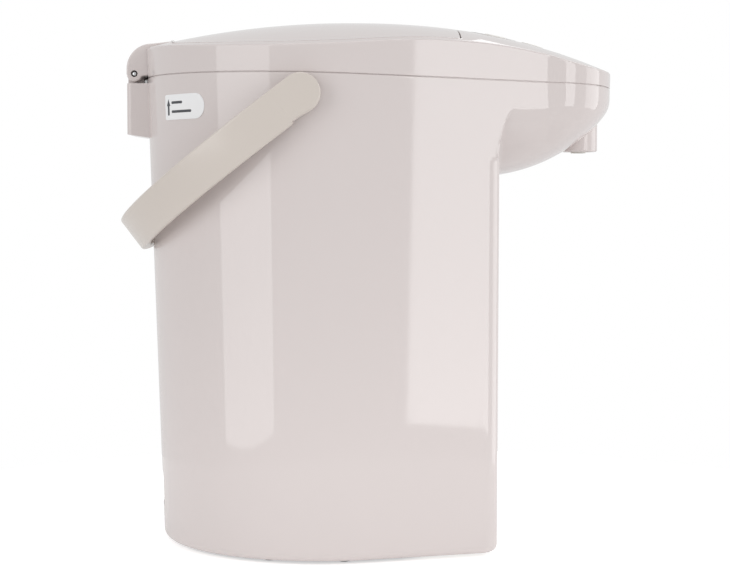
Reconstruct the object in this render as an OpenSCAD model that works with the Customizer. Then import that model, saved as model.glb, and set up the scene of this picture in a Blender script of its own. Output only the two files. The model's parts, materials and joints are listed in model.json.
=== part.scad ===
// Electric thermo pot with a dispensing beak, a hinged lid, a bail handle
// and a turntable foot.
// Millimetres, +Z up, +X towards the spout. The origin is on the table under
// the middle of the footprint. Lengths along X are counted from the pot's own
// upright axis, which stands a little behind the origin.

/* [Body] */
// Height of the crown above the table
body_h = 313; // [300:1:330]
// Radius of the rounded back at the crown
back_top_r = 107.5; // [104:0.5:112]
// Radius of the rounded back at the foot
back_foot_r = 97.5; // [96:0.5:102]
// Distance from the axis to the flat front face
front_x = 103; // [101:0.5:108]
// Angle at which the sides close in towards the front, at the crown
side_angle_top = 16.5; // [12:0.5:18]
// Angle at which the sides close in towards the front, at the foot
side_angle_foot = 17.5; // [16:0.5:22]
// Radius of the two upright front corners
corner_r = 11; // [8:1:14]
// Wall of the plastic case
wall = 3; // [2.5:0.5:3.5]
// Height of the case's lower edge above the table
foot_gap = 2; // [1.5:0.5:5]
// Rounding of the case's lower edge
foot_round = 4.5; // [2:0.5:6]
// Depth of the seam between case and top cover below the crown's peak, at the axis
seam_drop = 36; // [34:1:38]
// Fall of the seam towards the front, in degrees
seam_fall = 1.4; // [1:0.1:1.6]

/* [Top] */
// Distance of the crown's highest point in front of the axis
peak_x = 16; // [5:1:30]
// Drop of the crown from its peak to the back edge
back_drop = 15.4; // [14:0.2:18]
// Drop of the crown from its peak to the beak's tip
tip_drop = 31; // [28:1:33]
// Drop of the crown from its peak to the side edge
side_drop = 20; // [17:1:22]
// Thickness of the crown's skin
crown_t = 3; // [2.5:0.5:4]

/* [Beak] */
// Distance from the axis to the tip of the beak
tip_x = 175; // [170:1:185]
// Distance from the axis at which the beak's sides start to round in
nose_x = 132; // [125:1:140]
// Depth below the peak at which the beak's upright sides turn under
keel_drop = 51; // [49:1:54]
// Depth of the beak's underside where it leaves the front face
keel_depth = 41; // [36:1:46]
// Radius of the spout
spout_r = 11.5; // [10:0.5:13]
// Distance from the axis to the spout
spout_x = 156.5; // [154:0.5:158]
// Depth of the spout's lower end below the peak
spout_drop = 77; // [75:0.5:83]

/* [Hinge] */
// Distance of the hinge pin behind the rounded back
hinge_out = 4.8; // [4.6:0.1:6]
// Depth of the hinge pin below the peak
hinge_drop = 30.8; // [30:0.1:31.5]
// Radius of the hinge pin
hinge_pin_r = 1.5; // [1:0.1:2]
// Radius of the knuckle about the pin
knuckle_r = 4.7; // [4:0.1:5]
// Half the width of the hinge
hinge_hw = 22; // [18:1:26]
// Half the width of the bracket's middle tongue
tongue_hw = 13; // [10:1:15]
// Depth of the bracket's lower edge below the peak
bracket_drop = 69; // [61:1:78]
// Radius about the pin at which the lid's back edge ends
hinge_relief_r = 31; // [28:1:33]

/* [Handle] */
// Distance of the handle's pivot behind the axis
pivot_back = 9.6; // [8:0.2:14]
// Depth of the handle's pivot below the peak
pivot_drop = 47.6; // [47:0.2:53]
// Resting angle of the handle below the horizontal
rest_angle = 37.2; // [36:0.2:38]
// Clearance between the handle's arms and the widest part of the back
arm_gap = 0; // [0:0.1:1.5]
// Thickness of the handle's arms
arm_t = 7.5; // [6:0.5:8]
// Thickness of the grip between the arms
grip_t = 6; // [5:0.5:7]
// Width of the handle's strap
strap_w = 22.5; // [20:0.5:24]
// Reach of the handle beyond the radius of the back
handle_over = 25.5; // [25:0.5:30]
// Straight length of the arms before the handle rounds
arm_l = 23; // [20:1:40]
// Radius of the handle's pivot pins
pivot_r = 5; // [4:0.5:6]

/* [Lid] */
// Width of the rim round the lid
rim_w = 5.5; // [5:0.5:7]
// Clearance round the lid
lid_gap = 0.6; // [0.4:0.1:0.8]
// Distance of the lid's front edge from the axis
lid_front_x = 80; // [78:1:82]
// Depth of the lid's lower face below the peak
lid_drop = 30; // [29:0.5:30.5]
// Wall of the lid's skirt
skirt_t = 2.5; // [2:0.5:3]
// Half the width of the lid lever
lever_hw = 18; // [14:1:22]
// Distance of the lever's pin behind the lid's front edge
lever_in = 10; // [9:0.5:12]
// Depth of the lever's pin below the peak
lever_drop = 7; // [6.5:0.5:7.5]
// Radius of the steam vent
vent_r = 15; // [12:1:18]
// Distance of the steam vent behind the axis
vent_back = 45; // [40:1:55]

/* [Vessel] */
// Room between the water vessel and the inside of the case's foot
vessel_gap = 10; // [9.5:0.5:12]
// Wall of the water vessel
vessel_t = 1; // [0.8:0.1:1]
// Height of the vessel's underside
vessel_z = 62; // [61:0.5:64]
// Width of the shoulder round the vessel's mouth
shoulder_w = 10.5; // [10:0.5:13]
// Width of the gap that the lid's gasket closes
plug_gap = 4; // [3.5:0.5:6]
// Depth of the lid's inner cover
plug_depth = 21; // [19:1:25]

/* [Pump] */
// Distance of the pump from the axis
pump_x = 40; // [38:0.5:42]
// Radius of the pump housing
pump_r = 22; // [21:0.5:23]
// Radius of the motor can
motor_r = 18; // [14:0.5:19]
// Outside radius of the water pipe
pipe_r = 4.5; // [4:0.1:4.6]
// Wall of the water pipe
pipe_t = 1.3; // [1:0.1:1.6]
// Distance of the rising pipe's middle behind the front wall
riser_gap = 9.5; // [9.3:0.1:9.8]

/* [Controls] */
// Travel of the keys
key_travel = 1; // [0.6:0.1:1.2]
// Clearance round the keys
key_gap = 0.4; // [0.3:0.1:0.6]
// Radius of the dispensing key
dispense_r = 12; // [9:1:13]
// Radius of the small keys
key_r = 6.5; // [5:0.5:7.5]
// Half the length of the display
display_hw = 19; // [14:1:20]

/* [Foot] */
// Distance of the turntable's edge inside the case's foot
turntable_in = 6.5; // [6:0.5:12]
// Distance of the pads' circle inside the turntable's edge
pad_in = 9; // [6:1:12]
// Number of pads under the turntable
pads = 12; // [6:1:16]
// Radius of a pad
pad_r = 4; // [3:0.5:5]

/* [Window and inlet] */
// Half the width of the water gauge window
window_hw = 9; // [7:0.5:12]
// Height of the window's lower end
window_z = 72; // [66:1:80]
// Length of the window
window_h = 138; // [110:1:150]
// Half the width of the power inlet
inlet_hw = 22; // [18:1:26]
// Height of the power inlet's middle
inlet_z = 32; // [29:1:32]

/* [Hidden] */
axis_x = -26;
fit = 0.3;
run_fit = 0.05;
hair = 0.01;
far = 400;

shell_colour = [0.84, 0.80, 0.79];
handle_colour = [0.81, 0.77, 0.73];
inner_colour = [0.88, 0.87, 0.85];
steel_colour = [0.75, 0.76, 0.77];
dark_colour = [0.16, 0.16, 0.17];
rubber_colour = [0.30, 0.30, 0.31];
clear_colour = [0.80, 0.88, 0.90];
board_colour = [0.12, 0.38, 0.22];
copper_colour = [0.75, 0.48, 0.30];
white_colour = [0.94, 0.94, 0.93];

// Heights that hang from the crown's peak
seam_z = body_h - seam_drop;
keel_z = body_h - keel_drop;
spout_z = body_h - spout_drop;
hinge_z = body_h - hinge_drop;
bracket_z = body_h - bracket_drop;
pivot_z = body_h - pivot_drop;
lid_z = body_h - lid_drop;
lever_z = body_h - lever_drop;
plug_z = lid_z - plug_depth;

// The tapering case and the upright crown
back_taper = (back_top_r - back_foot_r) / (body_h - foot_gap);
angle_taper = (side_angle_foot - side_angle_top) / (body_h - foot_gap);
form_top_z = body_h + 4;
nose_fullness = 2.3;
nose_lean = 0.025;

// Curve of the crown: fuller than a parabola towards the beak's tip
front_power = 2.3;
side_k = side_drop / pow(back_top_r, 2);

// Deck under the lid, and the collar that narrows the vessel's mouth
deck_t = 2.5;
deck_top_z = lid_z - 2;
deck_z = deck_top_z - deck_t;
flange_t = 1.5;
pin_room = 10;
vessel_r = min(back_foot_r, back_top_r - pin_room) - wall - vessel_gap;
flange_w = 5;
flange_r = vessel_r + flange_w;
mouth_r = vessel_r - shoulder_w;
plug_r = mouth_r - plug_gap;
collar_h = 11;
flange_z = deck_z - collar_h - flange_t;
bulkhead_t = 3;
lip_h = 3;
bulkhead_x = lid_front_x + lid_gap;
lever_x = lid_front_x - lever_in;

// Lid lever, its well and the latch that it draws back
lever_front = 6;
lever_back = 13;
plate_t = 2;
lever_t = 3;
lever_pin_r = 1.5;
scoop_l = 11;
lid_draft = 0.27;
well_t = 2.5;
well_z = lever_z - 5;
finger_l = 12;
finger_hw = 4;
latch_hw = 8;
latch_h = 5;
latch_z = lever_z - finger_l - 1.5;
latch_out = 4.5;
latch_l = 26;
latch_slot = 8;

// Hinge block
hinge_back = back_top_r + hinge_out;
hinge_face_x = hinge_back + knuckle_r;
knuckle_round = 15;
block_drop = 12.8;
slot_h = 1.2;
bracket_top_z = hinge_z - knuckle_r - slot_h + 0.2;

// Handle
handle_inner_hw = back_top_r + arm_gap;
handle_hw = handle_inner_hw + arm_t;
handle_reach = back_top_r + handle_over;
handle_corner_r = handle_reach - arm_l;
pin_cap_t = 2;
boss_in = 5;
boss_t = 3;
inner_corner_r = handle_corner_r - grip_t;

// Foot
turntable_r = back_foot_r - turntable_in;
pad_circle_r = turntable_r - pad_in;
base_z = foot_gap + 1;
floor_z = 10.5;
floor_t = 2.5;
floor_top_z = floor_z + floor_t;
pad_h = base_z;
pad_angle = 9.75;
turntable_t = 4.5;
spigot_r = 8;
bearing_r = 62;
washer_r = 13;
washer_t = 1.3;
screw_r = 1.5;
screw_hole_r = 1.6;
head_r = 3.2;
head_h = 2;

// Frame that carries the vessel
frame_z = 46;
frame_t = 3;
frame_r = vessel_r + 3.5;
frame_inner_r = vessel_r - 19;
leg_r = 5.5;
leg_circle_r = vessel_r - 4;
leg_angle = 40;
boss_h = 9;
corner_screw_x = front_x - wall - 4.5;
corner_screw_y = 44;
corner_boss_h = 14;

// Heater and sensors
heater_r = 28;
heater_h = 4.7;
heater_z = vessel_z - fit - heater_h;
cutout_r = 8;
cutout_h = 6.5;
sensor_r = 5;
sensor_h = 9;
sensor_x = -46;

// Pump and motor
motor_z = floor_top_z + fit;
motor_top_z = 28;
cover_z = 34;
cover_t = 3;
chamber_h = 8;
chamber_r = 16.5;
pump_top_z = 52;
inlet_collar_h = 7;
stub_r = 5.5;
stub_l = 7;
seal_r = 9;
shaft_r = 1.5;
magnet_r = 11;
magnet_h = 3.5;
impeller_r = 15;
impeller_h = 5;
blades = 6;
drive_z = cover_z + cover_t + 4;
socket_r = 5.6;
socket_l = 6;
gauge_z = 60;
gauge_top_z = window_z + window_h + 6;
outlet_z = spout_z + 16;
riser_x = front_x - riser_gap;
sleeve_t = 1.6;

// Controls
board_x = 87;
board_l = 62;
board_hw = 38;
board_t = 1.6;
board_z = deck_z;
board_post_r = 2.5;
panel_t = 1.2;
panel_x = 84;
panel_back_hw = 50;
panel_side_x = 146;
panel_side_hw = 42;
panel_end_x = 164;
panel_end_hw = 31;
panel_corner_r = 9;
dispense_x = 148;
small_key_x = 126;
small_key_y = 22;
side_key_x = 103;
side_key_y = 33;
display_x = 92;
display_l = 22;
switch_h = 2;
key_cap_t = 3.6;
key_rise = 0.6;
key_stem_r = 2.2;
key_stem_back = 4;

// Main board and power inlet
main_board_x = -74;
main_board_l = 46;
main_board_hw = 42;
main_board_z = floor_top_z + 10;
inlet_h = 20;
inlet_depth = 14;
inlet_recess = 9;
inlet_wall = 3;
contact_r = 1.8;
contact_y = 9;
loom_r = 2.5;
loom_x = 84;
loom_in_y = 32;
loom_out_y = 58;

// Label on the side
label_l = 38;
label_h = 14.5;
label_z = body_h - 53;
label_angle = 222;
label_t = 0.3;

// ---- Shared forms -------------------------------------------------------

module from_axis() {
    translate([axis_x, 0, 0]) children();
}

function back_r(z) = back_top_r - (body_h - z) * back_taper;
function side_angle(z) = side_angle_top + (body_h - z) * angle_taper;

// Half the width between the flat sides at x, at height z
function side_y(x, z) = (back_r(z) - x * sin(side_angle(z))) / cos(side_angle(z));

// Height of the crown over the point x, y
function crown_z(x, y) =
    body_h - side_k * y * y - (x < peak_x
        ? back_drop * pow((peak_x - x) / (peak_x + back_top_r), 2)
        : tip_drop * pow((x - peak_x) / (tip_x - peak_x), front_power));

// Half the width of the beak's rounded nose, as a fuller curve than an ellipse
function nose_y(x, z) =
    side_y(nose_x, z)
    * pow(max(0, 1 - pow((x - nose_x) / (nose_tip(z) - nose_x), nose_fullness)), 1 / nose_fullness);
function nose_tip(z) = tip_x - (body_h - z) * nose_lean;
function beak_y(x, z) = x < nose_x ? side_y(x, z) : nose_y(x, z);

// A thin slice of the case's plan at height z, drawn in by inset
module case_slice(z, inset) {
    corner_cx = front_x - corner_r;
    corner_cy = (back_r(z) - corner_r - corner_cx * sin(side_angle(z))) / cos(side_angle(z));
    translate([0, 0, z]) {
        cylinder(h = hair, r = back_r(z) - inset, $fn = 96);
        for (side = [-1, 1])
            translate([corner_cx, side * corner_cy, 0])
                cylinder(h = hair, r = corner_r - inset, $fn = 32);
    }
}

// The tapering body below the beak
module case_form(inset, bottom_z, edge) {
    hull() {
        case_slice(keel_z, inset);
        case_slice(bottom_z + edge, inset);
        case_slice(bottom_z, inset + edge);
    }
}

// A thin slice of the plan with the beak at height z, drawn in by inset
module beak_slice(z, inset) {
    nose_steps = 12;
    nose_l = nose_tip(z) - nose_x;
    front_half = [for (i = [0:nose_steps])
        let (x = nose_x + nose_l * sin(90 * i / nose_steps))
        [x - inset * (x - nose_x) / nose_l, max(0, nose_y(x, z) - inset * (1 - i / nose_steps))]];
    translate([0, 0, z]) {
        cylinder(h = hair, r = back_r(z) - inset, $fn = 96);
        linear_extrude(hair)
            polygon(concat([for (p = front_half) [p[0], -p[1]]],
                [for (i = [nose_steps - 1:-1:0]) front_half[i]]));
    }
}

// The body and beak above the keel, drawn in by low at its foot and high at its top
module upper_form(low, high) {
    hull() {
        beak_slice(keel_z, low);
        beak_slice(form_top_z, high);
    }
}

// The bowl under the beak, as cross sections along X
module keel_form(inset) {
    steps = 9;
    start_x = front_x - corner_r;
    end_x = nose_tip(keel_z) - 0.5 - inset;
    hull()
        for (i = [0:steps]) {
            x = start_x + (end_x - start_x) * sin(90 * i / steps);
            half = max(1, beak_y(x + inset, keel_z) - inset);
            share = (x - start_x) / (end_x - start_x);
            depth = max(0.5, keel_depth * pow(1 - pow(share, 2.1), 0.8) - inset);
            translate([x, 0, 0]) rotate([90, 0, 90]) linear_extrude(hair)
                polygon([for (a = [0:15:180])
                    [half * sign(cos(a)) * pow(abs(cos(a)), 0.85), keel_z - depth * pow(sin(a), 0.95)]]);
        }
}

// Everything under the crown's curved surface lowered by drop
module under_crown(drop) {
    steps = 20;
    side_steps = 7;
    half = back_top_r + 6;
    start_x = -back_top_r - 14;
    end_x = tip_x + 4;
    hull()
        for (i = [0:steps]) {
            x = start_x + (end_x - start_x) * i / steps;
            translate([x, 0, 0]) rotate([90, 0, 90]) linear_extrude(hair)
                polygon(concat([[half, keel_z - 30], [-half, keel_z - 30]],
                    [for (j = [-side_steps:side_steps])
                        [half * j / side_steps, crown_z(x, half * j / side_steps) - drop]]));
        }
}

// All space above the tilted seam
module above_seam(lift) {
    translate([0, 0, seam_z + lift]) rotate([0, seam_fall, 0])
        translate([-far / 2, -far / 2, 0]) cube([far, far, far / 4]);
}

// All space below the tilted seam, raised by lift
module below_seam(lift) {
    translate([0, 0, seam_z + lift]) rotate([0, seam_fall, 0])
        translate([-far / 2, -far / 2, -far]) cube([far, far, far]);
}

// A block between two heights and two distances along X
module block(x0, x1, half_y, z0, z1) {
    translate([x0, -half_y, z0]) cube([x1 - x0, 2 * half_y, z1 - z0]);
}

module disc(x, y, z0, z1, r) {
    translate([x, y, z0]) cylinder(h = z1 - z0, r = r, $fn = 64);
}

module ring(x, y, z0, z1, outer_r, inner_r) {
    difference() {
        disc(x, y, z0, z1, outer_r);
        disc(x, y, z0 - 1, z1 + 1, inner_r);
    }
}

// A rod across the pot at x and z, between two distances from the middle
module cross_rod(x, z, y0, y1, r) {
    translate([x, y0, z]) rotate([-90, 0, 0]) cylinder(h = y1 - y0, r = r, $fn = 48);
}

// The same on one side only, counted outwards from the middle
module side_rod(x, z, side, y0, y1, r) {
    cross_rod(x, z, side > 0 ? y0 : -y1, side > 0 ? y1 : -y0, r);
}

module at_legs() {
    for (a = [leg_angle, 180 - leg_angle, 180 + leg_angle, -leg_angle])
        translate([leg_circle_r * cos(a), leg_circle_r * sin(a), 0]) children();
}

module at_corners() {
    for (side = [-1, 1])
        translate([corner_screw_x, side * corner_screw_y, 0]) children();
}

// ---- Outer skin --------------------------------------------------------------

module outer_case() {
    color(shell_colour) from_axis() difference() {
        union() {
            difference() {
                union() {
                    case_form(0, foot_gap, foot_round);
                    upper_form(0, 0);
                    keel_form(0);
                }
                case_form(wall, foot_gap - 1, 0);
                upper_form(wall, wall);
                keel_form(wall);
            }
            at_corners() disc(0, 0, floor_top_z, floor_top_z + corner_boss_h, leg_r);
            for (side = [-1, 1]) pivot_boss(side);
        }
        above_seam(0);
        at_corners() disc(0, 0, 0, floor_top_z + corner_boss_h - 2, screw_hole_r);
        disc(spout_x, 0, spout_z - 5, keel_z, spout_r + run_fit);
        block(front_x - wall - 1, front_x + 1, window_hw, window_z, window_z + window_h);
        block(-back_top_r, -back_foot_r + wall + 4, inlet_hw, inlet_z - inlet_h / 2, inlet_z + inlet_h / 2);
        for (side = [-1, 1])
            side_rod(-pivot_back, pivot_z, side, back_r(pivot_z) - wall - boss_in - 4, handle_hw, pivot_r);
        for (z = [bracket_z + 8, bracket_z + 24])
            translate([-back_top_r - 2, 0, z]) rotate([0, 90, 0])
                cylinder(h = 12, r = screw_hole_r, $fn = 32);
    }
}

// Round boss that carries a handle pin, from inside the wall to just short of the arm
module pivot_boss(side) {
    side_rod(-pivot_back, pivot_z, side, back_r(pivot_z) - wall - boss_in, handle_inner_hw - 0.5, pivot_r + boss_t);
}

module top_cover() {
    color(shell_colour) from_axis() difference() {
        intersection() {
            upper_form(0, 0);
            under_crown(0);
        }
        difference() {
            below_seam(0);
            upper_form(wall + fit, wall + fit);
        }
        below_seam(-lip_h);
        // Space below the deck and the control bay in the beak
        intersection() {
            upper_form(rim_w, rim_w);
            union() {
                block(-far / 2, far / 2, far / 2, 0, deck_z);
                intersection() {
                    block(bulkhead_x + bulkhead_t, far / 2, far / 2, 0, far);
                    under_crown(crown_t);
                }
            }
        }
        // Well that the lid lies in
        difference() {
            intersection() {
                lid_form(0);
                block(-far / 2, bulkhead_x, far / 2, deck_top_z, far);
            }
            cross_rod(-hinge_back, hinge_z, -far / 4, far / 4, hinge_relief_r - lid_gap);
        }
        disc(0, 0, deck_z - 1, deck_top_z + 1, mouth_r);
        // Notch for the hinge, and the slot that the latch enters
        block(-far / 2, -hinge_back + hinge_relief_r + 1, hinge_hw + 0.5, hinge_z - knuckle_r - 0.4, far);
        block(bulkhead_x - 2, bulkhead_x + bulkhead_t + 1, latch_hw + 0.5, latch_z - 0.5, latch_z + latch_h + 0.5);
        panel_bed();
    }
    // Posts that the control board hangs on
    color(shell_colour) from_axis()
        for (x = [board_x + 4, board_x + board_l - 6], side = [-1, 1]) {
            post_y = side * (board_hw - 4);
            disc(x, post_y, board_z + board_t, crown_z(x + board_post_r, post_y) - panel_t - 0.8, board_post_r);
        }
}

module panel_outline(grow) {
    offset(r = panel_corner_r + grow, $fn = 48) offset(delta = -panel_corner_r)
        polygon([[panel_x, -panel_back_hw], [panel_side_x, -panel_side_hw], [panel_end_x, -panel_end_hw],
            [panel_end_x, panel_end_hw], [panel_side_x, panel_side_hw], [panel_x, panel_back_hw]]);
}

// Shallow bed in the crown for the panel, open below for the keys and display
module panel_bed() {
    difference() {
        translate([0, 0, board_z]) linear_extrude(60) panel_outline(0.2);
        under_crown(panel_t + 0.2);
    }
    translate([0, 0, board_z]) linear_extrude(60) panel_openings(key_gap + 0.6);
}

// Round holes for the keys, each larger than its key by grow
module key_holes(grow) {
    translate([dispense_x, 0]) circle(dispense_r + grow, $fn = 64);
    for (side = [-1, 1]) {
        translate([small_key_x, side * small_key_y]) circle(key_r + grow, $fn = 48);
        translate([side_key_x, side * side_key_y]) circle(key_r + grow, $fn = 48);
    }
}

module panel_openings(grow) {
    key_holes(grow);
    translate([display_x - grow, -display_hw - grow])
        square([display_l + 2 * grow, 2 * (display_hw + grow)]);
}

// The lid's plan, closing in downwards so that it swings clear, drawn in by inset
module lid_form(inset) {
    pass_z = crown_z(0, back_top_r);
    upper_form(rim_w + inset + lid_draft * (pass_z - keel_z),
        rim_w + inset - lid_draft * (form_top_z - pass_z));
}

// ---- Hinge --------------------------------------------------------------

module hinge_bracket() {
    color(shell_colour) from_axis() difference() {
        union() {
            translate([0, hinge_hw, 0]) rotate([90, 0, 0]) linear_extrude(2 * hinge_hw)
                polygon([[-hinge_face_x, bracket_z + 2], [-hinge_face_x, bracket_top_z],
                    [-back_foot_r, bracket_top_z], [-back_foot_r, bracket_z - 1]]);
            block(-hinge_face_x, -hinge_back + knuckle_r, tongue_hw, bracket_top_z - 1, hinge_z);
            cross_rod(-hinge_back, hinge_z, -tongue_hw, tongue_hw, knuckle_r);
        }
        case_form(-fit, foot_gap, foot_round);
        upper_form(-fit, -fit);
        cross_rod(-hinge_back, hinge_z, -hinge_hw, hinge_hw, hinge_pin_r);
        for (z = [bracket_z + 8, bracket_z + 24])
            translate([-hinge_face_x + 2, 0, z]) rotate([0, 90, 0])
                cylinder(h = 12, r = screw_hole_r, $fn = 32);
    }
}

module hinge_pin() {
    color(steel_colour) from_axis()
        cross_rod(-hinge_back, hinge_z, -hinge_hw + 1, hinge_hw - 1, hinge_pin_r);
}

module bracket_screws() {
    color(steel_colour) from_axis() for (z = [bracket_z + 8, bracket_z + 24]) {
        head_x = -back_r(z) + wall;
        translate([-hinge_face_x + 3, 0, z]) rotate([0, 90, 0])
            cylinder(h = hinge_face_x - 3 + head_x + 0.5, r = screw_r, $fn = 32);
        translate([head_x + 0.2, 0, z]) rotate([0, 90, 0]) cylinder(h = head_h, r = head_r, $fn = 32);
    }
}

// ---- Vessel and heat ----------------------------------------------------

module inner_vessel() {
    color(steel_colour) from_axis() difference() {
        union() {
            disc(0, 0, vessel_z, flange_z + flange_t, vessel_r + vessel_t);
            disc(0, 0, flange_z, flange_z + flange_t, flange_r);
            disc(pump_x, 0, vessel_z - stub_l, vessel_z + 0.5, stub_r);
        }
        disc(0, 0, vessel_z + vessel_t, flange_z + flange_t + 1, vessel_r);
        disc(pump_x, 0, vessel_z - stub_l - 1, vessel_z + 5, stub_r - 1);
    }
}

module vessel_collar() {
    color(inner_colour) from_axis() difference() {
        disc(0, 0, flange_z + flange_t, deck_z, flange_r);
        disc(0, 0, flange_z, deck_z + 1, mouth_r);
        ring(0, 0, flange_z, deck_z - 3, flange_r - 3, mouth_r + 3);
    }
}

module insulation_sleeve() {
    color(inner_colour) from_axis()
        ring(0, 0, vessel_z + 14, flange_z - 6, vessel_r + vessel_t + fit + sleeve_t, vessel_r + vessel_t + fit);
}

module heater() {
    color(steel_colour) from_axis() difference() {
        disc(0, 0, heater_z, heater_z + heater_h, heater_r);
        ring(0, 0, heater_z - 1, heater_z + 1.5, heater_r - 8, heater_r - 14);
    }
}

module thermal_cutout() {
    color(dark_colour) from_axis() union() {
        disc(0, 0, heater_z - cutout_h, heater_z, cutout_r);
        for (side = [-1, 1])
            translate([-1, side * 4 - 1.5, heater_z - cutout_h - 6]) cube([0.8, 3, 7]);
    }
}

module temperature_sensor() {
    color(copper_colour) from_axis()
        disc(sensor_x, 0, vessel_z - fit - sensor_h, vessel_z - fit, sensor_r);
}

module support_frame() {
    color(inner_colour) from_axis() difference() {
        union() {
            ring(0, 0, frame_z, frame_z + frame_t, frame_r, frame_inner_r);
            ring(0, 0, frame_z, vessel_z - fit, vessel_r + vessel_t, vessel_r - 2);
            at_legs() disc(0, 0, floor_top_z + boss_h, frame_z + 1, leg_r);
            block(-frame_inner_r - 2, sensor_x + sensor_r + 2, 5, frame_z, frame_z + frame_t);
            disc(sensor_x, 0, frame_z, vessel_z - fit - 2, sensor_r + 2.5);
        }
        disc(sensor_x, 0, vessel_z - fit - sensor_h, vessel_z, sensor_r + 0.2);
        at_legs() disc(0, 0, floor_top_z, frame_z - 4, screw_hole_r);
    }
}

// ---- Pump and water way -------------------------------------------------

module pump_motor() {
    color(steel_colour) from_axis() difference() {
        disc(pump_x, 0, motor_z, motor_top_z, motor_r);
        disc(pump_x, 0, motor_z + 4, motor_top_z + 1, shaft_r + run_fit);
    }
}

module motor_rotor() {
    color(dark_colour) from_axis() union() {
        disc(pump_x, 0, motor_z + 5, cover_z - magnet_h, shaft_r);
        disc(pump_x, 0, cover_z - magnet_h - 1, cover_z - 1, magnet_r);
    }
}

module pump_housing() {
    pipe_z = drive_z;
    color(inner_colour) from_axis() difference() {
        union() {
            disc(pump_x, 0, motor_top_z, pump_top_z, pump_r);
            disc(pump_x, 0, pump_top_z - 1, pump_top_z + inlet_collar_h, seal_r + 2);
            translate([pump_x + chamber_r, 0, pipe_z]) rotate([0, 90, 0])
                cylinder(h = 14, r = pipe_r - pipe_t, $fn = 48);
        }
        disc(pump_x, 0, motor_top_z - 1, cover_z + cover_t, pump_r - 2);
        disc(pump_x, 0, cover_z, cover_z + cover_t + chamber_h, chamber_r);
        disc(pump_x, 0, cover_z, pump_top_z + 1, stub_r - 1);
        disc(pump_x, 0, pump_top_z, pump_top_z + inlet_collar_h + 1, seal_r);
        translate([pump_x + chamber_r - 1, 0, pipe_z]) rotate([0, 90, 0])
            cylinder(h = 16, r = pipe_r - pipe_t - 1, $fn = 48);
    }
}

module pump_cover() {
    color(inner_colour) from_axis() union() {
        disc(pump_x, 0, cover_z, cover_z + cover_t, pump_r - 2.3);
        disc(pump_x, 0, cover_z + cover_t - 1, drive_z + impeller_h / 2 + 0.5, shaft_r);
    }
}

module pump_impeller() {
    low_z = drive_z - impeller_h / 2 - 0.5;
    color(dark_colour) from_axis() difference() {
        union() {
            disc(pump_x, 0, low_z, low_z + 2, impeller_r);
            disc(pump_x, 0, low_z, low_z + impeller_h, 4);
            for (i = [0:blades - 1])
                translate([pump_x, 0, low_z + 1]) rotate(360 * i / blades)
                    translate([3, -0.6, 0]) cube([impeller_r - 4, 1.2, impeller_h - 1]);
        }
        disc(pump_x, 0, low_z - 1, low_z + impeller_h + 1, shaft_r + run_fit);
    }
}

module suction_seal() {
    color(rubber_colour) from_axis()
        ring(pump_x, 0, pump_top_z, pump_top_z + inlet_collar_h - 0.5, seal_r - 0.1, stub_r + 0.1);
}

// A straight run of pipe between two points of the pot's middle plane
module pipe_run(x0, z0, x1, z1, r) {
    run = sqrt(pow(x1 - x0, 2) + pow(z1 - z0, 2));
    translate([x0, 0, z0]) rotate([0, atan2(x1 - x0, z1 - z0), 0]) cylinder(h = run, r = r, $fn = 48);
}

module lower_pipe() {
    start_x = pump_x + pump_r + 2;
    color(inner_colour) from_axis() difference() {
        union() {
            pipe_run(start_x, drive_z, riser_x, drive_z, pipe_r);
            translate([riser_x, 0, drive_z]) sphere(r = pipe_r, $fn = 48);
            pipe_run(riser_x, drive_z, riser_x, gauge_z, pipe_r);
            disc(riser_x, 0, gauge_z - 1, gauge_z + socket_l, socket_r);
        }
        pipe_run(start_x - 1, drive_z, riser_x, drive_z, pipe_r - pipe_t + run_fit);
        pipe_run(riser_x, drive_z, riser_x, gauge_z + 1, pipe_r - pipe_t);
        disc(riser_x, 0, gauge_z, gauge_z + socket_l + 1, pipe_r + run_fit);
    }
}

module gauge_tube() {
    color(clear_colour) from_axis()
        ring(riser_x, 0, gauge_z, gauge_top_z, pipe_r, pipe_r - pipe_t);
}

module upper_pipe() {
    color(inner_colour) from_axis() difference() {
        union() {
            disc(riser_x, 0, gauge_top_z - socket_l, gauge_top_z + 1, socket_r);
            pipe_run(riser_x, gauge_top_z, riser_x, outlet_z, pipe_r);
            translate([riser_x, 0, outlet_z]) sphere(r = pipe_r, $fn = 48);
            pipe_run(riser_x, outlet_z, spout_x, outlet_z, pipe_r);
            translate([spout_x, 0, outlet_z]) sphere(r = pipe_r, $fn = 48);
            pipe_run(spout_x, spout_z - 0.8, spout_x, outlet_z, pipe_r);
        }
        disc(riser_x, 0, gauge_top_z - socket_l - 1, gauge_top_z, pipe_r + run_fit);
        pipe_run(riser_x, gauge_top_z - 1, riser_x, outlet_z, pipe_r - pipe_t);
        pipe_run(riser_x, outlet_z, spout_x, outlet_z, pipe_r - pipe_t);
        pipe_run(spout_x, spout_z - 3, spout_x, outlet_z, pipe_r - pipe_t);
    }
}

module spout() {
    color(shell_colour) from_axis() difference() {
        intersection() {
            disc(spout_x, 0, spout_z, keel_z, spout_r);
            union() {
                keel_form(-8);
                upper_form(-1, -1);
                disc(spout_x, 0, spout_z, keel_z - 8, spout_r);
            }
        }
        disc(spout_x, 0, spout_z - 1, keel_z + 1, pipe_r + run_fit);
        disc(spout_x, 0, outlet_z - pipe_r - 0.5, keel_z + 1, spout_r - 2);
        block(spout_x - spout_r - 1, spout_x, pipe_r + 0.5, outlet_z - pipe_r - 0.5, keel_z + 1);
        disc(spout_x, 0, spout_z - 1, spout_z + 5, spout_r - 2.5);
    }
}

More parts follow.
